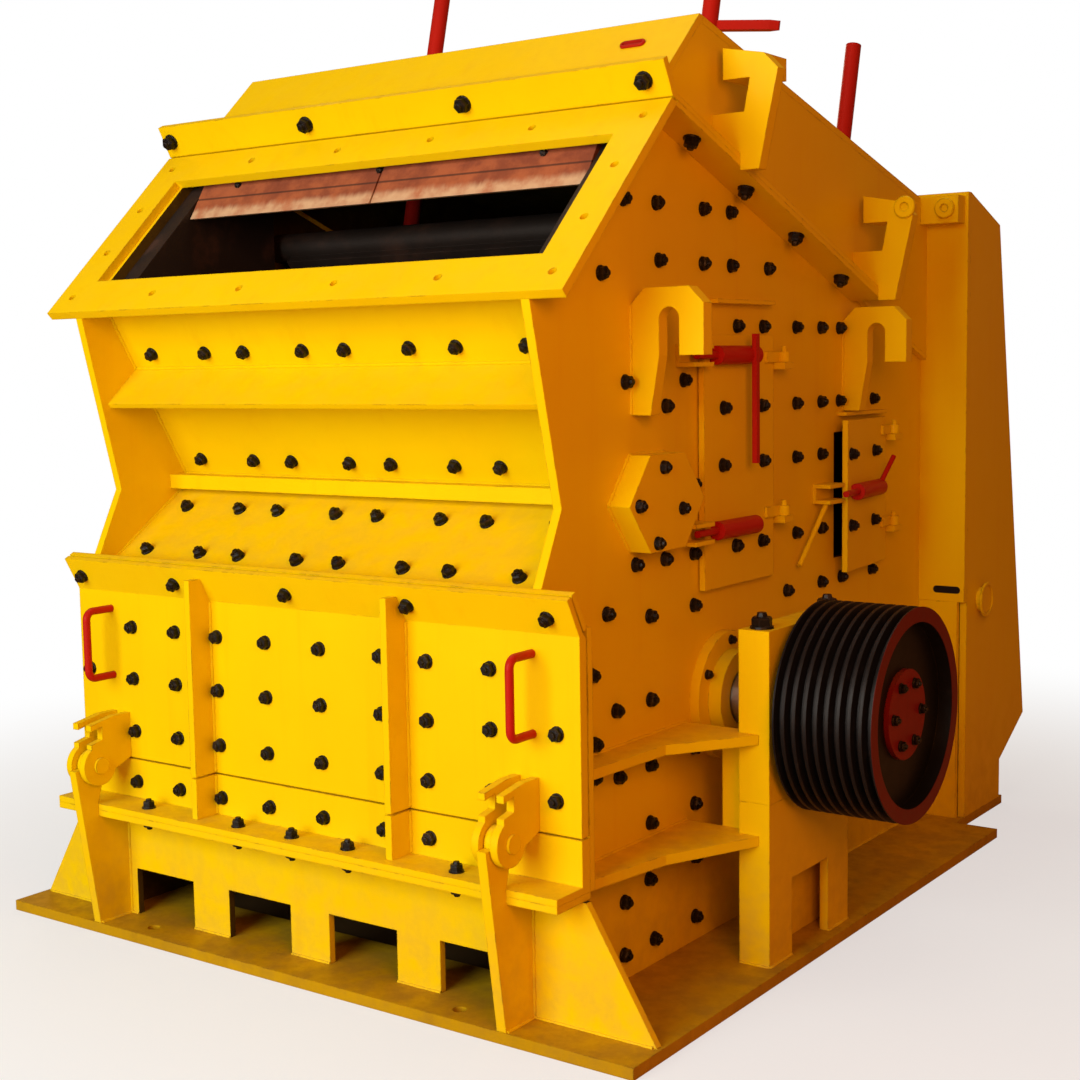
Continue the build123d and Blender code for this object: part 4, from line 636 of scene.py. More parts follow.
class NodeTool:
    """A Geometry Nodes tree, built once and run on point or line meshes."""

    def __init__(self, name: str, sizes: Dict[str, float], seed: int) -> None:
        """Starts a tree with named inputs.

        Args:
            name: The tree's name.
            sizes: Its number inputs and their values.
            seed: Seed of what is random in it.
        """
        self.tree = bpy.data.node_groups.new(name, "GeometryNodeTree")
        self.values: Dict[str, Any] = {**sizes, "Seed": seed}
        self.keys: Dict[str, str] = {}
        self.add_socket("Geometry", "NodeSocketGeometry")
        for label in sizes:
            self.add_socket(label, "NodeSocketFloat")
        self.add_socket("Seed", "NodeSocketInt")
        self.add_socket("Material", "NodeSocketMaterial")
        self.tree.interface.new_socket("Geometry", in_out="OUTPUT", socket_type="NodeSocketGeometry")
        self.book = Book(self.tree)
        self.entry = self.book.node("NodeGroupInput")

    def add_socket(self, label: str, kind: str) -> None:
        """Adds one named input."""
        self.keys[label] = self.tree.interface.new_socket(label, in_out="INPUT", socket_type=kind).identifier

    def number(self, label: str) -> Value:
        """Gives a named input as a number."""
        return Value(self.book, self.entry.outputs[label])

    def close(self, shape: bpy.types.NodeSocket) -> None:
        """Ends the tree: realizes the copies, sets the material and links the output.

        Args:
            shape: What the tree has made.
        """
        book = self.book
        flat = book.out("GeometryNodeRealizeInstances", {}, {0: shape})
        sockets = {"Geometry": flat, "Material": self.entry.outputs["Material"]}
        painted = book.out("GeometryNodeSetMaterial", {}, sockets)
        book.node("NodeGroupOutput", {}, {0: painted})

    def run(self, piece: bpy.types.Object, material: bpy.types.Material) -> None:
        """Runs the tree on an object and keeps the result as its plain mesh.

        Args:
            piece: Object whose mesh holds the places.
            material: Material of the result.
        """
        modifier = piece.modifiers.new(self.tree.name, "NODES")
        modifier.node_group = self.tree
        for label, value in self.values.items():
            modifier[self.keys[label]] = value
        modifier[self.keys["Material"]] = material
        graph = bpy.context.evaluated_depsgraph_get()
        mesh = bpy.data.meshes.new_from_object(piece.evaluated_get(graph), depsgraph=graph)
        piece.modifiers.remove(modifier)
        piece.data = mesh


@dataclass(frozen=True)
class Bolt:
    """One bolt end: where it sits, where it points and how large it is."""

    place: Vector
    facing: Vector
    size: float = 1.0


@dataclass
class BoltTool:
    """Nut, washer and threaded end, copied onto points that know their direction."""

    nut_radius: float = 0.0178
    nut_height: float = 0.0155
    washer_radius: float = 0.0202
    washer_height: float = 0.004
    stub_radius: float = 0.0095
    stub_height: float = 0.007
    chamfer_share: float = 0.22
    washer_sides: int = 14
    nut_sides: int = 6
    stub_sides: int = 9
    washer_taper: float = 0.97
    nut_taper: float = 0.86
    stub_taper: float = 0.8
    seed: int = 7

    def disc(
        self, tool: NodeTool, sides: int, radii: Tuple[Value, Value], low: Number, tall: Value
    ) -> bpy.types.NodeSocket:
        """Adds one cone frustum standing on a height.

        Args:
            tool: Tree that it is added to.
            sides: Number of sides.
            radii: Lower and upper radius.
            low: Height of its foot.
            tall: Its own height.

        Returns:
            The shape's socket.
        """
        sockets = {"Vertices": sides, "Radius Bottom": radii[0], "Radius Top": radii[1], "Depth": tall}
        cone = tool.book.out("GeometryNodeMeshCone", {}, sockets)
        lift = tool.book.out("ShaderNodeCombineXYZ", {}, {"Z": low})
        return tool.book.out("GeometryNodeTransform", {}, {"Geometry": cone, "Translation": lift})

    def tree(self) -> NodeTool:
        """Builds the tree.

        Returns:
            The tool that turns points into bolts.
        """
        sizes = {
            "Nut Radius": self.nut_radius,
            "Nut Height": self.nut_height,
            "Washer Radius": self.washer_radius,
            "Washer Height": self.washer_height,
            "Stub Radius": self.stub_radius,
            "Stub Height": self.stub_height,
            "Chamfer Share": self.chamfer_share,
        }
        tool = NodeTool("bolt_ends", sizes, self.seed)
        book = tool.book
        nut, tall = tool.number("Nut Radius"), tool.number("Nut Height")
        washer, thin = tool.number("Washer Radius"), tool.number("Washer Height")
        stub, rise = tool.number("Stub Radius"), tool.number("Stub Height")
        crown = tall * tool.number("Chamfer Share")
        body = tall - crown
        shapes = [
            self.disc(tool, self.washer_sides, (washer, washer * self.washer_taper), 0.0, thin),
            self.disc(tool, self.nut_sides, (nut, nut), thin, body),
            self.disc(tool, self.nut_sides, (nut, nut * self.nut_taper), thin + body, crown),
            self.disc(tool, self.stub_sides, (stub, stub * self.stub_taper), thin + tall, rise),
        ]
        joined = book.node("GeometryNodeJoinGeometry")
        for shape in shapes:
            book.feed(joined.inputs[0], shape)
        stored = "GeometryNodeInputNamedAttribute"
        facing = book.out(stored, {"data_type": "FLOAT_VECTOR"}, {"Name": "facing"})
        size = book.out(stored, {"data_type": "FLOAT"}, {"Name": "size"})
        turned = book.out("FunctionNodeAlignRotationToVector", {"axis": "Z"}, {"Vector": facing})
        spin = book.node("FunctionNodeRandomValue", {"data_type": "FLOAT"})
        book.feed(spin.inputs[2], 0.0)
        book.feed(spin.inputs[3], math.tau)
        book.feed(spin.inputs["Seed"], tool.entry.outputs["Seed"])
        twist = book.out("FunctionNodeAxisAngleToRotation", {}, {"Angle": spin.outputs[1]})
        spun = {"Rotation": turned, "Rotate By": twist}
        rotation = book.out("FunctionNodeRotateRotation", {"rotation_space": "LOCAL"}, spun)
        sockets = {
            "Points": tool.entry.outputs["Geometry"],
            "Instance": joined.outputs[0],
            "Rotation": rotation,
            "Scale": size,
        }
        tool.close(book.out("GeometryNodeInstanceOnPoints", {}, sockets))
        return tool


@dataclass
class WeldTool:
    """Rippled weld bead along lines."""

    radius: float = 0.0055
    pitch: float = 0.011
    ripple: float = 0.22
    sides: int = 6
    seed: int = 3

    def tree(self) -> NodeTool:
        """Builds the tree.

        Returns:
            The tool that turns lines into beads.
        """
        sizes = {"Radius": self.radius, "Pitch": self.pitch, "Ripple": self.ripple}
        tool = NodeTool("weld_bead", sizes, self.seed)
        book = tool.book
        curve = book.out("GeometryNodeMeshToCurve", {}, {0: tool.entry.outputs["Geometry"]})
        spaced = {"Curve": curve, "Length": tool.number("Pitch")}
        even = book.out("GeometryNodeResampleCurve", {"mode": "LENGTH"}, spaced)
        wave = book.node("FunctionNodeRandomValue", {"data_type": "FLOAT"})
        book.feed(wave.inputs[2], 1 - tool.number("Ripple"))
        book.feed(wave.inputs[3], 1 + tool.number("Ripple"))
        book.feed(wave.inputs["Seed"], tool.entry.outputs["Seed"])
        profile = {"Resolution": self.sides, "Radius": tool.number("Radius")}
        ring = book.out("GeometryNodeCurvePrimitiveCircle", {}, profile)
        sockets = {"Curve": even, "Profile Curve": ring, "Fill Caps": True, "Scale": wave.outputs[1]}
        bead = book.out("GeometryNodeCurveToMesh", {}, sockets)
        tool.close(bead)
        return tool


def new_piece(
    name: str,
    points: Sequence[Sequence[float]],
    edges: Sequence[Tuple[int, int]] = (),
    faces: Sequence[Sequence[int]] = (),
) -> bpy.types.Object:
    """Puts a mesh in the scene under a name.

    Args:
        name: Name of the piece and of its mesh.
        points: Its corners.
        edges: Its loose edges, each from corner to corner.
        faces: Its faces, each a ring of corners.

    Returns:
        The new object.
    """
    mesh = bpy.data.meshes.new(name)
    mesh.from_pydata(points, edges, faces)
    piece = bpy.data.objects.new(name, mesh)
    bpy.context.scene.collection.objects.link(piece)
    return piece


@dataclass
class BoltRows:
    """All bolt ends, gathered by the group that they ride on."""

    fields: Dict[Body, List[Bolt]] = field(default_factory=dict)
    door_columns: Sequence[float] = (-0.668, -0.488, -0.319, -0.133, 0.066, 0.278, 0.43, 0.63)
    door_rows: Sequence[float] = (0.889, 0.738, 0.583)
    sill_row: float = 0.433
    door_edges: Sequence[Pair] = ((-0.855, 0.752), (-0.855, 0.59), (0.828, 0.749), (0.825, 0.585))
    lip_foot: float = 0.989
    lip_rise: float = 0.048
    lip_places: Sequence[float] = (-0.85, -0.46, -0.03, 0.39, 0.82)
    ledge_depth: float = -0.06
    ledge_faces: Sequence[Pair] = ((0.383, 1), (0.347, -1))
    ledge_places: Sequence[float] = (-0.56, -0.2, 0.0, 0.2, 0.56)
    wall_columns: Sequence[float] = (0.672, 0.452, 0.299, 0.076)
    upper_rows: Sequence[float] = (1.676, 1.362)
    lower_rows: Sequence[float] = (1.217, 1.105)
    joint_size: float = 1.2
    joint_column: float = 0.855
    joint_depth: float = 0.015
    joint_places: Sequence[float] = (0.614, 0.905, 1.206, 1.508)
    joint_lip: Pair = (0.408, 2.325)
    joint_lip_columns: Sequence[float] = (-0.871, -0.307, 0.267, 0.836)
    curtain_size: float = 0.55
    curtain_line: Pair = (0.3785, 2.169)
    curtain_places: Sequence[float] = (-0.558, -0.006, 0.55)
    side_rows: Sequence[Row] = (
        (2.035, (0.357, 0.514, 0.755, 0.903)),
        (1.89, (0.526, 0.753, 0.908, 1.126)),
        (1.848, (0.253,)),
        (1.725, (0.941, 1.095, 1.303, 1.47, 1.6)),
        (1.58, (0.36, 0.648)),
        (1.514, (0.555,)),
        (1.5, (1.303, 1.471, 1.6, 1.853)),
        (1.34, (1.303, 1.472)),
        (1.3, (0.694,)),
        (1.112, (0.4, 0.544, 0.694, 1.303, 1.473)),
        (1.002, (0.262,)),
        (0.97, (0.466, 0.694)),
        (0.944, (1.244, 1.474, 1.617, 1.844)),
        (0.857, (0.19,)),
        (0.749, (0.299, 0.466)),
        (0.681, (0.2,)),
        (0.597, (0.193,)),
        (0.576, (0.306, 0.46, 0.69)),
        (0.42, (0.459, 0.69)),
        (0.27, (0.45, 0.69)),
        (0.24, (0.329,)),
        (0.1, (0.325, 0.474, 0.69)),
    )
    hatch_set_back: float = 0.017
    left_cover_thickness: float = 0.018
    front_hatch_rows: Sequence[Row] = (
        (1.501, (0.824, 1.045)), (1.344, (0.817, 1.05)), (1.115, (0.889, 1.043)),
    )
    rear_hatch_rows: Sequence[Row] = ((1.336, (1.56, 1.784)), (1.114, (1.56, 1.777)))
    cover_size: float = 0.9
    cover_thickness: float = 0.065
    cover_places: Sequence[Pair] = ((0.318, 1.271), (0.53, 1.25), (0.405, 1.17), (0.437, 1.362))
    bearing_size: float = 1.6
    bearing_column: float = 1.03
    bearing_top: float = 0.93
    bearing_places: Sequence[float] = (0.655, 1.045)
    circle_count: int = 6
    seal_size: float = 0.7
    seal_face: float = 0.83
    seal_circle: float = 0.155
    hub_size: float = 0.75
    hub_circle: float = 0.088

    def add(self, body: Body, place: Vector, facing: Sequence[float], size: float = 1.0) -> None:
        """Adds one bolt end to a group."""
        self.fields.setdefault(body, []).append(Bolt(place, Vector(facing).normalized(), size))

    def front(self) -> None:
        """Places the bolts of the door, the sill and the ledge."""
        for z in self.door_rows:
            for x in self.door_columns:
                self.add(Body.FRONT_DOOR, at(x, 0, z), (0, -1, 0))
        for x, z in self.door_edges:
            self.add(Body.FRONT_DOOR, at(x, 0, z), (0, -1, 0))
        up = heading(LIP_ANGLE)
        into = heading(LIP_ANGLE - math.pi / 2)
        for x in self.lip_places:
            place = at(x, up[0] * self.lip_rise, self.lip_foot + up[1] * self.lip_rise)
            self.add(Body.FRONT_DOOR, place, (0, -into[0], -into[1]))
        for x in self.door_columns:
            self.add(Body.HOUSING, at(x, 0, self.sill_row), (0, -1, 0))
        for x in self.ledge_places:
            for z, way in self.ledge_faces:
                self.add(Body.HOUSING, at(x, self.ledge_depth, z), (0, 0, way))

    def folded_wall(self) -> None:
        """Places the bolts of the folded front wall."""
        panels = ((UPPER_PANEL_ANGLE, self.upper_rows), (LOWER_PANEL_ANGLE, self.lower_rows))
        for angle, rows in panels:
            way = heading(angle)
            into = heading(angle - math.pi / 2)
            for z in rows:
                y = FOLD[0] + (z - FOLD[1]) * way[0] / way[1]
                for x in self.wall_columns:
                    for sign in (-1, 1):
                        self.add(Body.HOUSING, at(sign * x, y, z), (0, -into[0], -into[1]))

    def joint(self) -> None:
        """Places the large bolts of the roof joint, on its lip and under its sides."""
        into = heading(LIP_ANGLE - math.pi / 2)
        for x in self.joint_lip_columns:
            place = at(x, *self.joint_lip)
            self.add(Body.HOUSING, place, (0, -into[0], -into[1]), self.joint_size)
        for x in self.curtain_places:
            self.add(Body.HOUSING, at(x, *self.curtain_line), (0, -1, 0), self.curtain_size)
        up = heading(math.pi / 2 - JOINT_ANGLE)
        way = heading(INLET_ANGLE)
        corner = [foot + INLET_LENGTH * step for foot, step in zip(INLET_FOOT, way)]
        for y in self.joint_places:
            z = corner[1] - (y - corner[0]) * math.tan(JOINT_ANGLE)
            for sign in (-1, 1):
                column = sign * self.joint_column
                low = at(column, y - up[0] * self.joint_depth, z - up[1] * self.joint_depth)
                self.add(Body.HOUSING, low, (0, -up[0], -up[1]), self.joint_size)

    def circle(self, body: Body, middle: Vector, radius: float, size: float, start: float) -> None:
        """Adds bolt ends on a circle that looks out to the nearer side.

        Args:
            body: Group that they ride on.
            middle: Middle of the circle, in the frame.
            radius: The circle's radius.
            size: Size of each bolt end.
            start: Where the first one sits, in steps round the circle.
        """
        out = (math.copysign(1, middle.x - ORIGIN.x), 0, 0)
        for step in range(self.circle_count):
            y, z = heading(math.tau * (step + start) / self.circle_count)
            self.add(body, middle + Vector((0, radius * y, radius * z)), out, size)

    def sides(self) -> None:
        """Places the bolts of both side walls, their covers and the bearings."""
        for sign in (-1, 1):
            out = (sign, 0, 0)
            for z, row in self.side_rows:
                for y in row:
                    self.add(Body.HOUSING, at(sign * HALF_WIDTH, y, z), out)
            cover = sign * (HALF_WIDTH + self.cover_thickness)
            for y, z in self.cover_places:
                self.add(Body.HOUSING, at(cover, y, z), out, self.cover_size)
            for y in self.bearing_places:
                place = at(sign * self.bearing_column, y, self.bearing_top)
                self.add(Body.HOUSING, place, (0, 0, 1), self.bearing_size)
            seal = at(sign * self.seal_face, *SHAFT)
            self.circle(Body.HOUSING, seal, self.seal_circle, self.seal_size, 0.5)

    def hatches(self) -> None:
        """Places the bolts of the inspection doors and of the left covers."""
        face = HATCH_HINGE_X - self.hatch_set_back
        left = -HALF_WIDTH - self.left_cover_thickness
        for z, row in self.front_hatch_rows:
            for y in row:
                self.add(Body.FRONT_HATCH, at(face, y, z), (1, 0, 0))
                self.add(Body.HOUSING, at(left, y, z), (-1, 0, 0))
        for z, row in self.rear_hatch_rows:
            for y in row:
                self.add(Body.REAR_HATCH, swung(at(face, y, z)), REAR_SWING @ Vector((1, 0, 0)))
                self.add(Body.HOUSING, at(left, y, z), (-1, 0, 0))

    def hub(self) -> None:
        """Places the bolts of the pulley hub."""
        low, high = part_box("pulley")
        middle = (low + high) / 2
        middle.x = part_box("pulley_hub")[1].x
        self.circle(Body.ROTOR, middle, self.hub_circle, self.hub_size, 0.0)

    def build(self, finishes: Finishes) -> None:
        """Turns the gathered places into one mesh for each group.

        Args:
            finishes: Materials of the machine.
        """
        for gather in (self.front, self.folded_wall, self.joint, self.sides, self.hatches, self.hub):
            gather()
        tool = BoltTool().tree()
        for body, bolts in self.fields.items():
            piece = new_piece(f"{body.value}_bolts", [bolt.place for bolt in bolts])
            facing = piece.data.attributes.new("facing", "FLOAT_VECTOR", "POINT")
            facing.data.foreach_set("vector", [part for bolt in bolts for part in bolt.facing])
            size = piece.data.attributes.new("size", "FLOAT", "POINT")
            size.data.foreach_set("value", [bolt.size for bolt in bolts])
            tool.run(piece, finishes.bolt)
            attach(piece, body.value)
            LOG.info("%s: %d bolt ends", piece.name, len(bolts))


@dataclass
class Welds:
    """Weld beads along the joints of the plates."""

    lines: Dict[Body, List[List[Vector]]] = field(default_factory=dict)
    door_rib_places: Pair = (-0.354, 0.354)
    door_rib_half: float = 0.0105
    door_rib_span: Pair = (0.506, 0.986)
    sill_rib_span: Pair = (0.386, 0.495)
    post_places: Pair = (-0.748, 0.72)
    post_width: float = 0.028
    post_reach: float = -0.114
    post_top: float = 0.344
    tooth_edges: Sequence[float] = (
        -1.09, -0.691, -0.453, -0.309, -0.071, 0.071, 0.309, 0.453, 0.691, 1.09,
    )
    panel_half: float = 0.775
    panel_ends: Tuple[Pair, Pair] = ((0.03, 1.835), (0.02, 1.068))
    panel_rib_half: float = 0.77
    panel_ribs: Sequence[Pair] = ((0.145, 1.633), (0.3265, 1.3135))
    gusset_levels: Sequence[float] = (0.655, 0.628, 0.383, 0.356)
    gusset_span: Pair = (0.056, 0.648)
    hook_tops: Sequence[Pair] = ((0.41, 1.815), (1.65, 1.788))
    hook_half: float = 0.021
    hook_drops: Pair = (0.318, 0.044)
    cover_middle: Pair = (0.46, 1.271)
    cover_half: Pair = (0.185, 0.124)
    cover_flat: float = 0.46
    pedestal_columns: Pair = (0.987, 1.075)
    pedestal_span: Pair = (0.61, 1.09)
    pedestal_window: Pair = (0.738, 0.962)
    wall_foot_span: Pair = (1.12, 2.245)

    def run(self, body: Body, *points: Place) -> None:
        """Adds one bead through places on the drawing."""
        self.lines.setdefault(body, []).append([at(*p) for p in points])

    def front(self) -> None:
        """Beads of the door ribs, the hinge posts and the toothed wall."""
        for middle in self.door_rib_places:
            for x in (middle - self.door_rib_half, middle + self.door_rib_half):
                self.run(Body.FRONT_DOOR, *[(x, 0, z) for z in self.door_rib_span])
                self.run(Body.HOUSING, *[(x, 0, z) for z in self.sill_rib_span])
        for inner in self.post_places:
            for x in (inner, inner + self.post_width):
                self.run(Body.HOUSING, (x, self.post_reach, BED_TOP), (x, 0, BED_TOP), (x, 0, self.post_top))
        for low, high in zip(self.tooth_edges[::2], self.tooth_edges[1::2]):
            self.run(Body.HOUSING, (low, 0, BED_TOP), (high, 0, BED_TOP))

    def folded_wall(self) -> None:
        """Beads of the folded wall against the side walls, and of its rib and bar."""
        upper, lower = self.panel_ends
        for x in (-self.panel_half, self.panel_half):
            self.run(Body.HOUSING, (x, *upper), (x, *FOLD), (x, *lower))
        for place in self.panel_ribs:
            self.run(Body.HOUSING, (-self.panel_rib_half, *place), (self.panel_rib_half, *place))

    def sides(self) -> None:
        """Beads of the gussets, hooks, covers and pedestals on both side walls."""
        width, height = self.cover_half
        flat = width * self.cover_flat
        half = [(-width, 0), (-flat, height), (flat, height), (width, 0)]
        ring = half + [(-y, -z) for y, z in half[1:]]
        low, high = self.hook_drops
        near, far = self.pedestal_span
        opening, closing = self.pedestal_window
        for sign in (-1, 1):
            x = sign * HALF_WIDTH
            for z in self.gusset_levels:
                self.run(Body.HOUSING, *[(x, y, z) for y in self.gusset_span])
            for y, top in self.hook_tops:
                for edge in (y - self.hook_half, y + self.hook_half):
                    self.run(Body.HOUSING, (x, edge, top - low), (x, edge, top - high))
            middle = self.cover_middle
            self.run(Body.HOUSING, *[(x, middle[0] + y, middle[1] + z) for y, z in ring])
            inner, outer = (sign * column for column in self.pedestal_columns)
            self.run(Body.HOUSING, (inner, near, BED_TOP), (outer, near, BED_TOP), (outer, opening, BED_TOP))
            self.run(Body.HOUSING, (outer, closing, BED_TOP), (outer, far, BED_TOP), (inner, far, BED_TOP))
            self.run(Body.HOUSING, *[(x, y, BED_TOP) for y in self.wall_foot_span])

    def build(self, finishes: Finishes) -> None:
        """Turns the gathered lines into one bead mesh for each group.

        Args:
            finishes: Materials of the machine.
        """
        for gather in (self.front, self.folded_wall, self.sides):
            gather()
        tool = WeldTool().tree()
        for body, lines in self.lines.items():
            points: List[Vector] = []
            edges: List[Tuple[int, int]] = []
            for line in lines:
                start = len(points)
                points += line
                edges += [(start + i, start + i + 1) for i in range(len(line) - 1)]
            piece = new_piece(f"{body.value}_welds", points, edges)
            tool.run(piece, finishes.yellow)
            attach(piece, body.value)
            LOG.info("%s: %d beads", piece.name, len(lines))


@dataclass(frozen=True)
class Boss:
    """Round or long boss: an outline that steps in and up from a face."""

    place: Vector
    facing: Vector
    steps: Sequence[Pair]
    length: float = 0.0
    sides: int = 20

    def points(self) -> List[Vector]:
        """Gives the rings of the outline, one after the other.

        Returns:
            The places of all corners in the frame.
        """
        side = Vector((1, 0, 0)) if abs(self.facing.x) < 0.5 else Vector((0, 1, 0))
        turned = Matrix((side, self.facing.cross(side), self.facing)).transposed()
        found = []
        for radius, height in self.steps:
            for index in range(self.sides):
                angle = math.tau * (index + 0.5) / self.sides
                across = radius * math.cos(angle) + math.copysign(self.length / 2, math.cos(angle))
                found.append(self.place + turned @ Vector((across, radius * math.sin(angle), height)))
        return found

    def faces(self, start: int) -> List[List[int]]:
        """Gives the faces between the rings, the foot and the cap on the last ring.

        Args:
            start: Number of the first corner.

        Returns:
            The corners of each face.
        """
        made = [list(range(start + self.sides - 1, start - 1, -1))]
        for ring in range(len(self.steps) - 1):
            low = start + ring * self.sides
            for index in range(self.sides):
                after = (index + 1) % self.sides
                made.append([low + index, low + after, low + self.sides + after, low + self.sides + index])
        last = start + (len(self.steps) - 1) * self.sides
        made.append(list(range(last, last + self.sides)))
        return made


@dataclass
class Fittings:
    """Small bosses, black slot marks painted as shade, and bars on the housing and on the rear clamp."""

    knob: Sequence[Pair] = ((0.034, 0.0), (0.034, 0.008), (0.031, 0.011), (0.014, 0.011), (0.012, 0.006))
    hook_knob: Place = (0.992, 1.66, 2.087)
    latch_knob: Place = (0.907, 2.19, 2.124)
    ring: Sequence[Pair] = ((0.062, 0.0), (0.062, 0.005), (0.059, 0.007), (0.05, 0.007), (0.048, 0.001))
    ring_place: Pair = (2.4, 0.785)
    # Outline, place and length of the black slot marks, painted shade of the slots.
    slot: Sequence[Pair] = ((0.0125, 0.0), (0.0125, 0.001), (0.0115, 0.0018))
    slot_place: Place = (0.9015, 2.25, 0.832)
    slot_length: float = 0.072
    plate: Sequence[Pair] = ((0.0135, 0.0), (0.0135, 0.005), (0.012, 0.007), (0.007, 0.007), (0.006, 0.002))
    plate_place: Place = (0.66, 0.637, 2.465)
    plate_length: float = 0.05
    bar_radius: float = 0.0085
    bar_pitch: float = 0.02
    swing_bolt: Tuple[Place, Place] = ((0.838, 1.44, 1.19), (0.824, 1.285, 1.015))
    cross_handle: Tuple[Place, Place] = ((0.85, 1.765, 1.23), (0.872, 1.835, 1.315))

    def yellow(self) -> List[Boss]:
        """Gives the bosses of the hooks, the latches and the rear box.

        Returns:
            The bosses in the housing's own paint.
        """
        ahead = Vector((0, -1, 0))
        made = []
        for sign in (-1, 1):
            for x, y, z in (self.hook_knob, self.latch_knob):
                made.append(Boss(at(sign * x, y, z), ahead, self.knob))
            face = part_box("rear_sides")[(sign + 1) // 2].x - ORIGIN.x
            made.append(Boss(at(face, *self.ring_place), Vector((sign, 0, 0)), self.ring))
        return made

    def dark(self) -> List[Boss]:
        """Gives the slots in the feet of the rear portal, as thin raised shapes painted black for their
        shade.
        """
        x, y, z = self.slot_place
        return [Boss(at(s * x, y, z), Vector((0, -1, 0)), self.slot, self.slot_length) for s in (-1, 1)]

    def red(self) -> List[Boss]:
        """Gives the slotted plate on the front of the roof."""
        slope = heading(ROOF_FRONT_ANGLE)
        return [Boss(at(*self.plate_place), Vector((0, -slope[1], slope[0])), self.plate, self.plate_length)]

    def bars(self, finishes: Finishes) -> None:
        """Builds the swing bolt under the rear clamp and the clamp's cross handle.

        Args:
            finishes: Materials of the machine.
        """
        tool = WeldTool(radius=self.bar_radius, pitch=self.bar_pitch, ripple=0.0).tree()
        bolt = [at(*place) for place in self.swing_bolt]
        handle = [swung(at(*place)) for place in self.cross_handle]
        groups = (
            ("swing_bolt", bolt, Body.HOUSING, finishes.yellow, "yellow_paint"),
            ("clamp_cross_handle", handle, Body.REAR_HATCH, finishes.red, "red_paint"),
        )
        for name, points, body, material, slot in groups:
            piece = new_piece(name, points, [(0, 1)])
            tool.run(piece, material)
            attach(piece, body.value)
            LOG.info("%s", name)

    def build(self, finishes: Finishes) -> None:
        """Builds one mesh for each colour.

        Args:
            finishes: Materials of the machine.
        """
        self.bars(finishes)
        groups = (
            ("housing_bosses", self.yellow(), finishes.yellow, "yellow_paint"),
            # Black raised marks stand for the slots' dark shade: painted shade.
            ("portal_slot_painted_shade", self.dark(), finishes.bolt, "black_iron"),
            ("roof_slot_plate", self.red(), finishes.red, "red_paint"),
        )
        for name, bosses, material, slot in groups:
            points: List[Vector] = []
            faces: List[List[int]] = []
            for boss in bosses:
                faces += boss.faces(len(points))
                points += boss.points()
            piece = new_piece(name, points, faces=faces)
            piece.data.materials.append(material)
            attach(piece, Body.HOUSING.value)
            LOG.info("%s: %d", name, len(bosses))


@dataclass(frozen=True)
class Lamp:
    """Square soft lamp, placed and aimed on the drawing."""

    name: str
    place: Place
    aim: Place
    size: float
    power: float
    colour: Colour

    def hang(self) -> None:
        """Puts the lamp in the scene."""
        data = bpy.data.lights.new(self.name, "AREA")
        data.size, data.energy, data.color = self.size, self.power, self.colour
        lamp = bpy.data.objects.new(self.name, data)
        lamp.location = at(*self.place)
        lamp.rotation_euler = (at(*self.aim) - at(*self.place)).to_track_quat("-Z", "Y").to_euler()
        bpy.context.scene.collection.objects.link(lamp)


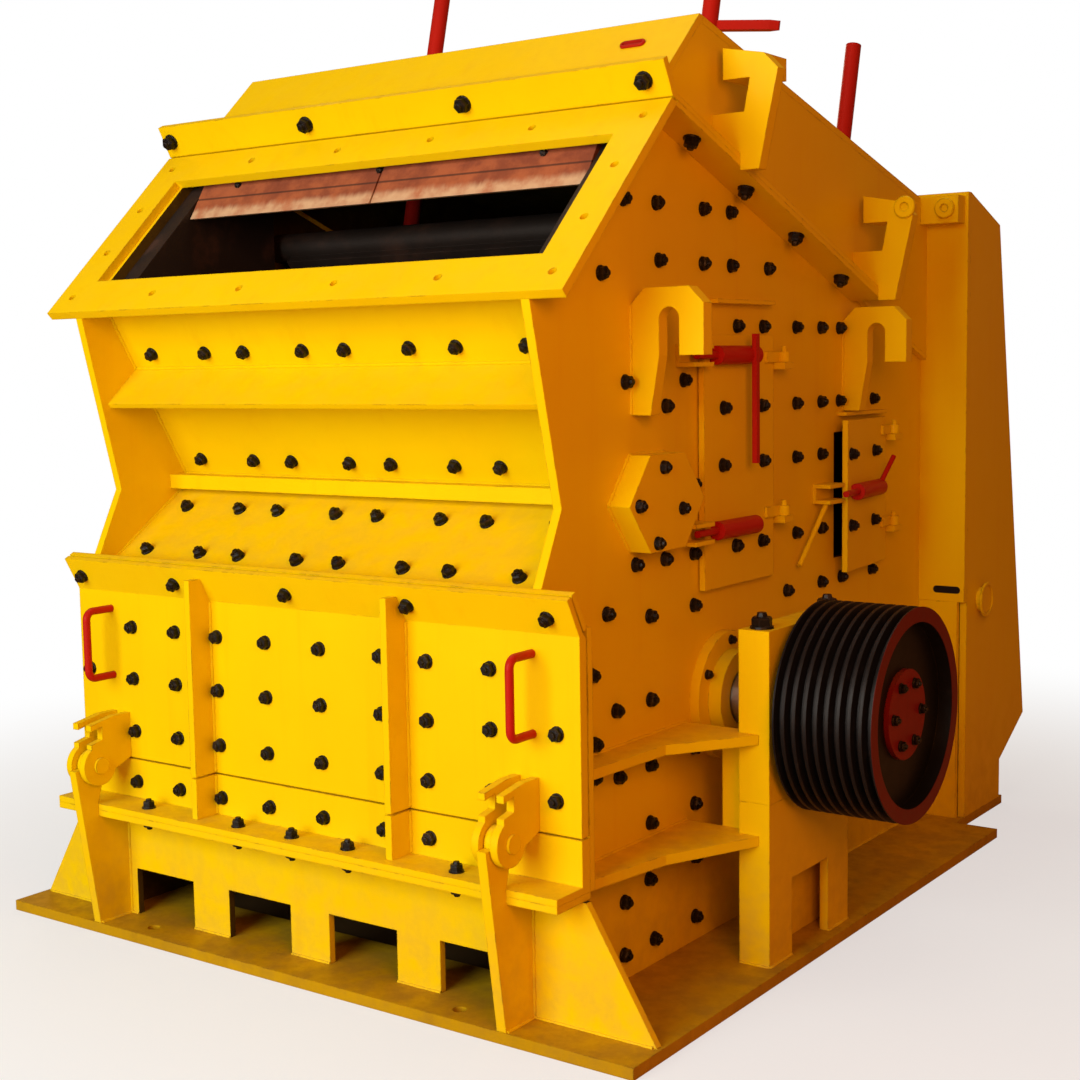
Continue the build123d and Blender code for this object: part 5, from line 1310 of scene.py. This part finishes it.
@dataclass
class Studio:
    """Pale floor, soft light and a camera where the photograph was taken."""

    lens: float = 55.51
    sensor: float = 36.0
    eye: Place = (3.0672, -3.1984, 1.6298)
    azimuth: float = 35.49
    pitch: float = 6.05
    roll: float = -0.91
    floor_half: float = 30.0
    floor_pale: Colour = (0.72, 0.84, 0.88)
    floor_grey: Colour = (0.69, 0.8, 0.84)
    floor_bounce: Colour = (0.46, 0.25, 0.1)
    # Painted shade: the floor under the machine is near-black out to these reaches across and along.
    floor_under_shade: Colour = (0.1, 0.06, 0.025)
    under_shade_across: Pair = (0.75, 0.85)
    under_shade_along: Pair = (0.8, 0.95)
    fade_start: float = 1.6
    fade_end: float = 4.2
    fade_near: float = 0.6
    fill: Colour = (1.0, 0.36, 0.12)
    fill_strength: float = 0.28
    lamps: Sequence[Lamp] = (
        Lamp("key", (-0.4, -6.4, 2.7), MACHINE_MIDDLE, 5.0, 500.0, (1.0, 0.98, 0.9)),
        Lamp("side", (3.6, -2.1, 2.5), (0.8, 0.5, 1.4), 1.6, 76.0, (1.0, 0.32, 0.08)),
        Lamp("top", (0.2, 0.8, 6.4), MACHINE_MIDDLE, 3.0, 60.0, (1.0, 0.95, 0.85)),
        Lamp("back", (-4.5, 6.0, 4.0), MACHINE_MIDDLE, 3.0, 110.0, (1.0, 0.85, 0.65)),
    )

    def camera(self) -> None:
        """Sets up the camera."""
        turn, drop, roll = (math.radians(a) for a in (self.azimuth, self.pitch, self.roll))
        ahead = Vector((-math.sin(turn) * math.cos(drop), math.cos(turn) * math.cos(drop), -math.sin(drop)))
        right = Vector((math.cos(turn), math.sin(turn), 0.0))
        up = right.cross(ahead)
        across = right * math.cos(roll) + up * math.sin(roll)
        above = up * math.cos(roll) - right * math.sin(roll)
        data = bpy.data.cameras.new("camera")
        data.lens, data.sensor_width, data.sensor_fit = self.lens, self.sensor, "HORIZONTAL"
        camera = bpy.data.objects.new("camera", data)
        bpy.context.scene.collection.objects.link(camera)
        turned = Matrix((across, above, -ahead)).transposed().to_4x4()
        camera.matrix_world = Matrix.Translation(at(*self.eye)) @ turned
        bpy.context.scene.camera = camera

    def floor(self) -> None:
        """Lays the pale floor."""
        half = self.floor_half
        corners = [(-half, -half, 0), (half, -half, 0), (half, half, 0), (-half, half, 0)]
        floor = new_piece("floor", corners, faces=[(0, 1, 2, 3)])
        floor.data.materials.append(self.floor_coat())
        LOG.info("floor")

    def floor_coat(self) -> bpy.types.Material:
        """Builds a pale coat that keeps the shadow, is painted near-black under the machine as painted
        shade, and fades to white away from the machine.

        Returns:
            The floor's material.
        """
        surface = Surface("floor_coat")
        grain = surface.noise(3.0)
        seen = surface.value("ShaderNodeLightPath", {}, {}, "Is Camera Ray")
        colour = surface.mix(self.floor_pale, self.floor_grey, grain)
        colour = surface.mix(self.floor_bounce, colour, seen)
        across = abs(surface.axis(surface.place, "X") - ORIGIN.x)
        along = abs(surface.axis(surface.place, "Y") - at(*CHAMBER_MIDDLE).y)
        # Under the machine the floor is painted near-black and left without the white glow: painted shade.
        under = (1 - across.smooth(*self.under_shade_across)) * (1 - along.smooth(*self.under_shade_along))
        colour = surface.mix(colour, self.floor_under_shade, under)
        plain = surface.out("ShaderNodeBsdfDiffuse", {}, {"Color": colour})
        white = surface.out("ShaderNodeEmission", {}, {"Strength": 1.0})
        reach = surface.value("ShaderNodeVectorMath", {"operation": "LENGTH"}, {0: surface.place}, "Value")
        far = reach.smooth(self.fade_start, self.fade_end)
        fade = (far * (1 - self.fade_near) + self.fade_near) * seen * (1 - under)
        mixed = surface.out("ShaderNodeMixShader", {}, {0: fade, 1: plain, 2: white})
        surface.node("ShaderNodeOutputMaterial", {}, {"Surface": mixed})
        return surface.material

    def world(self) -> None:
        """Fills the surroundings with even light, white where the camera looks."""
        world = bpy.data.worlds.new("surroundings")
        world.use_nodes = True
        bpy.context.scene.world = world
        book = Book(world.node_tree)
        world.node_tree.nodes.clear()
        seen = book.out("ShaderNodeLightPath", {}, {}, "Is Camera Ray")
        warm = {"Color": (*self.fill, 1.0), "Strength": self.fill_strength}
        light = book.out("ShaderNodeBackground", {}, warm)
        white = book.out("ShaderNodeBackground", {}, {"Color": (1, 1, 1, 1), "Strength": 1.0})
        mixed = book.out("ShaderNodeMixShader", {}, {0: seen, 1: light, 2: white})
        book.node("ShaderNodeOutputWorld", {}, {"Surface": mixed})

    def build(self) -> None:
        """Sets up floor, light and camera."""
        self.camera()
        self.floor()
        self.world()
        for lamp in self.lamps:
            lamp.hang()
        bpy.context.scene.view_settings.view_transform = "Standard"


def main() -> None:
    logging.basicConfig(level=logging.INFO, format="%(name)s: %(message)s")
    finishes = Finishes()
    finishes.dress()
    BoltRows().build(finishes)
    Welds().build(finishes)
    Fittings().build(finishes)
    Studio().build()


if __name__ == "__main__":
    main()
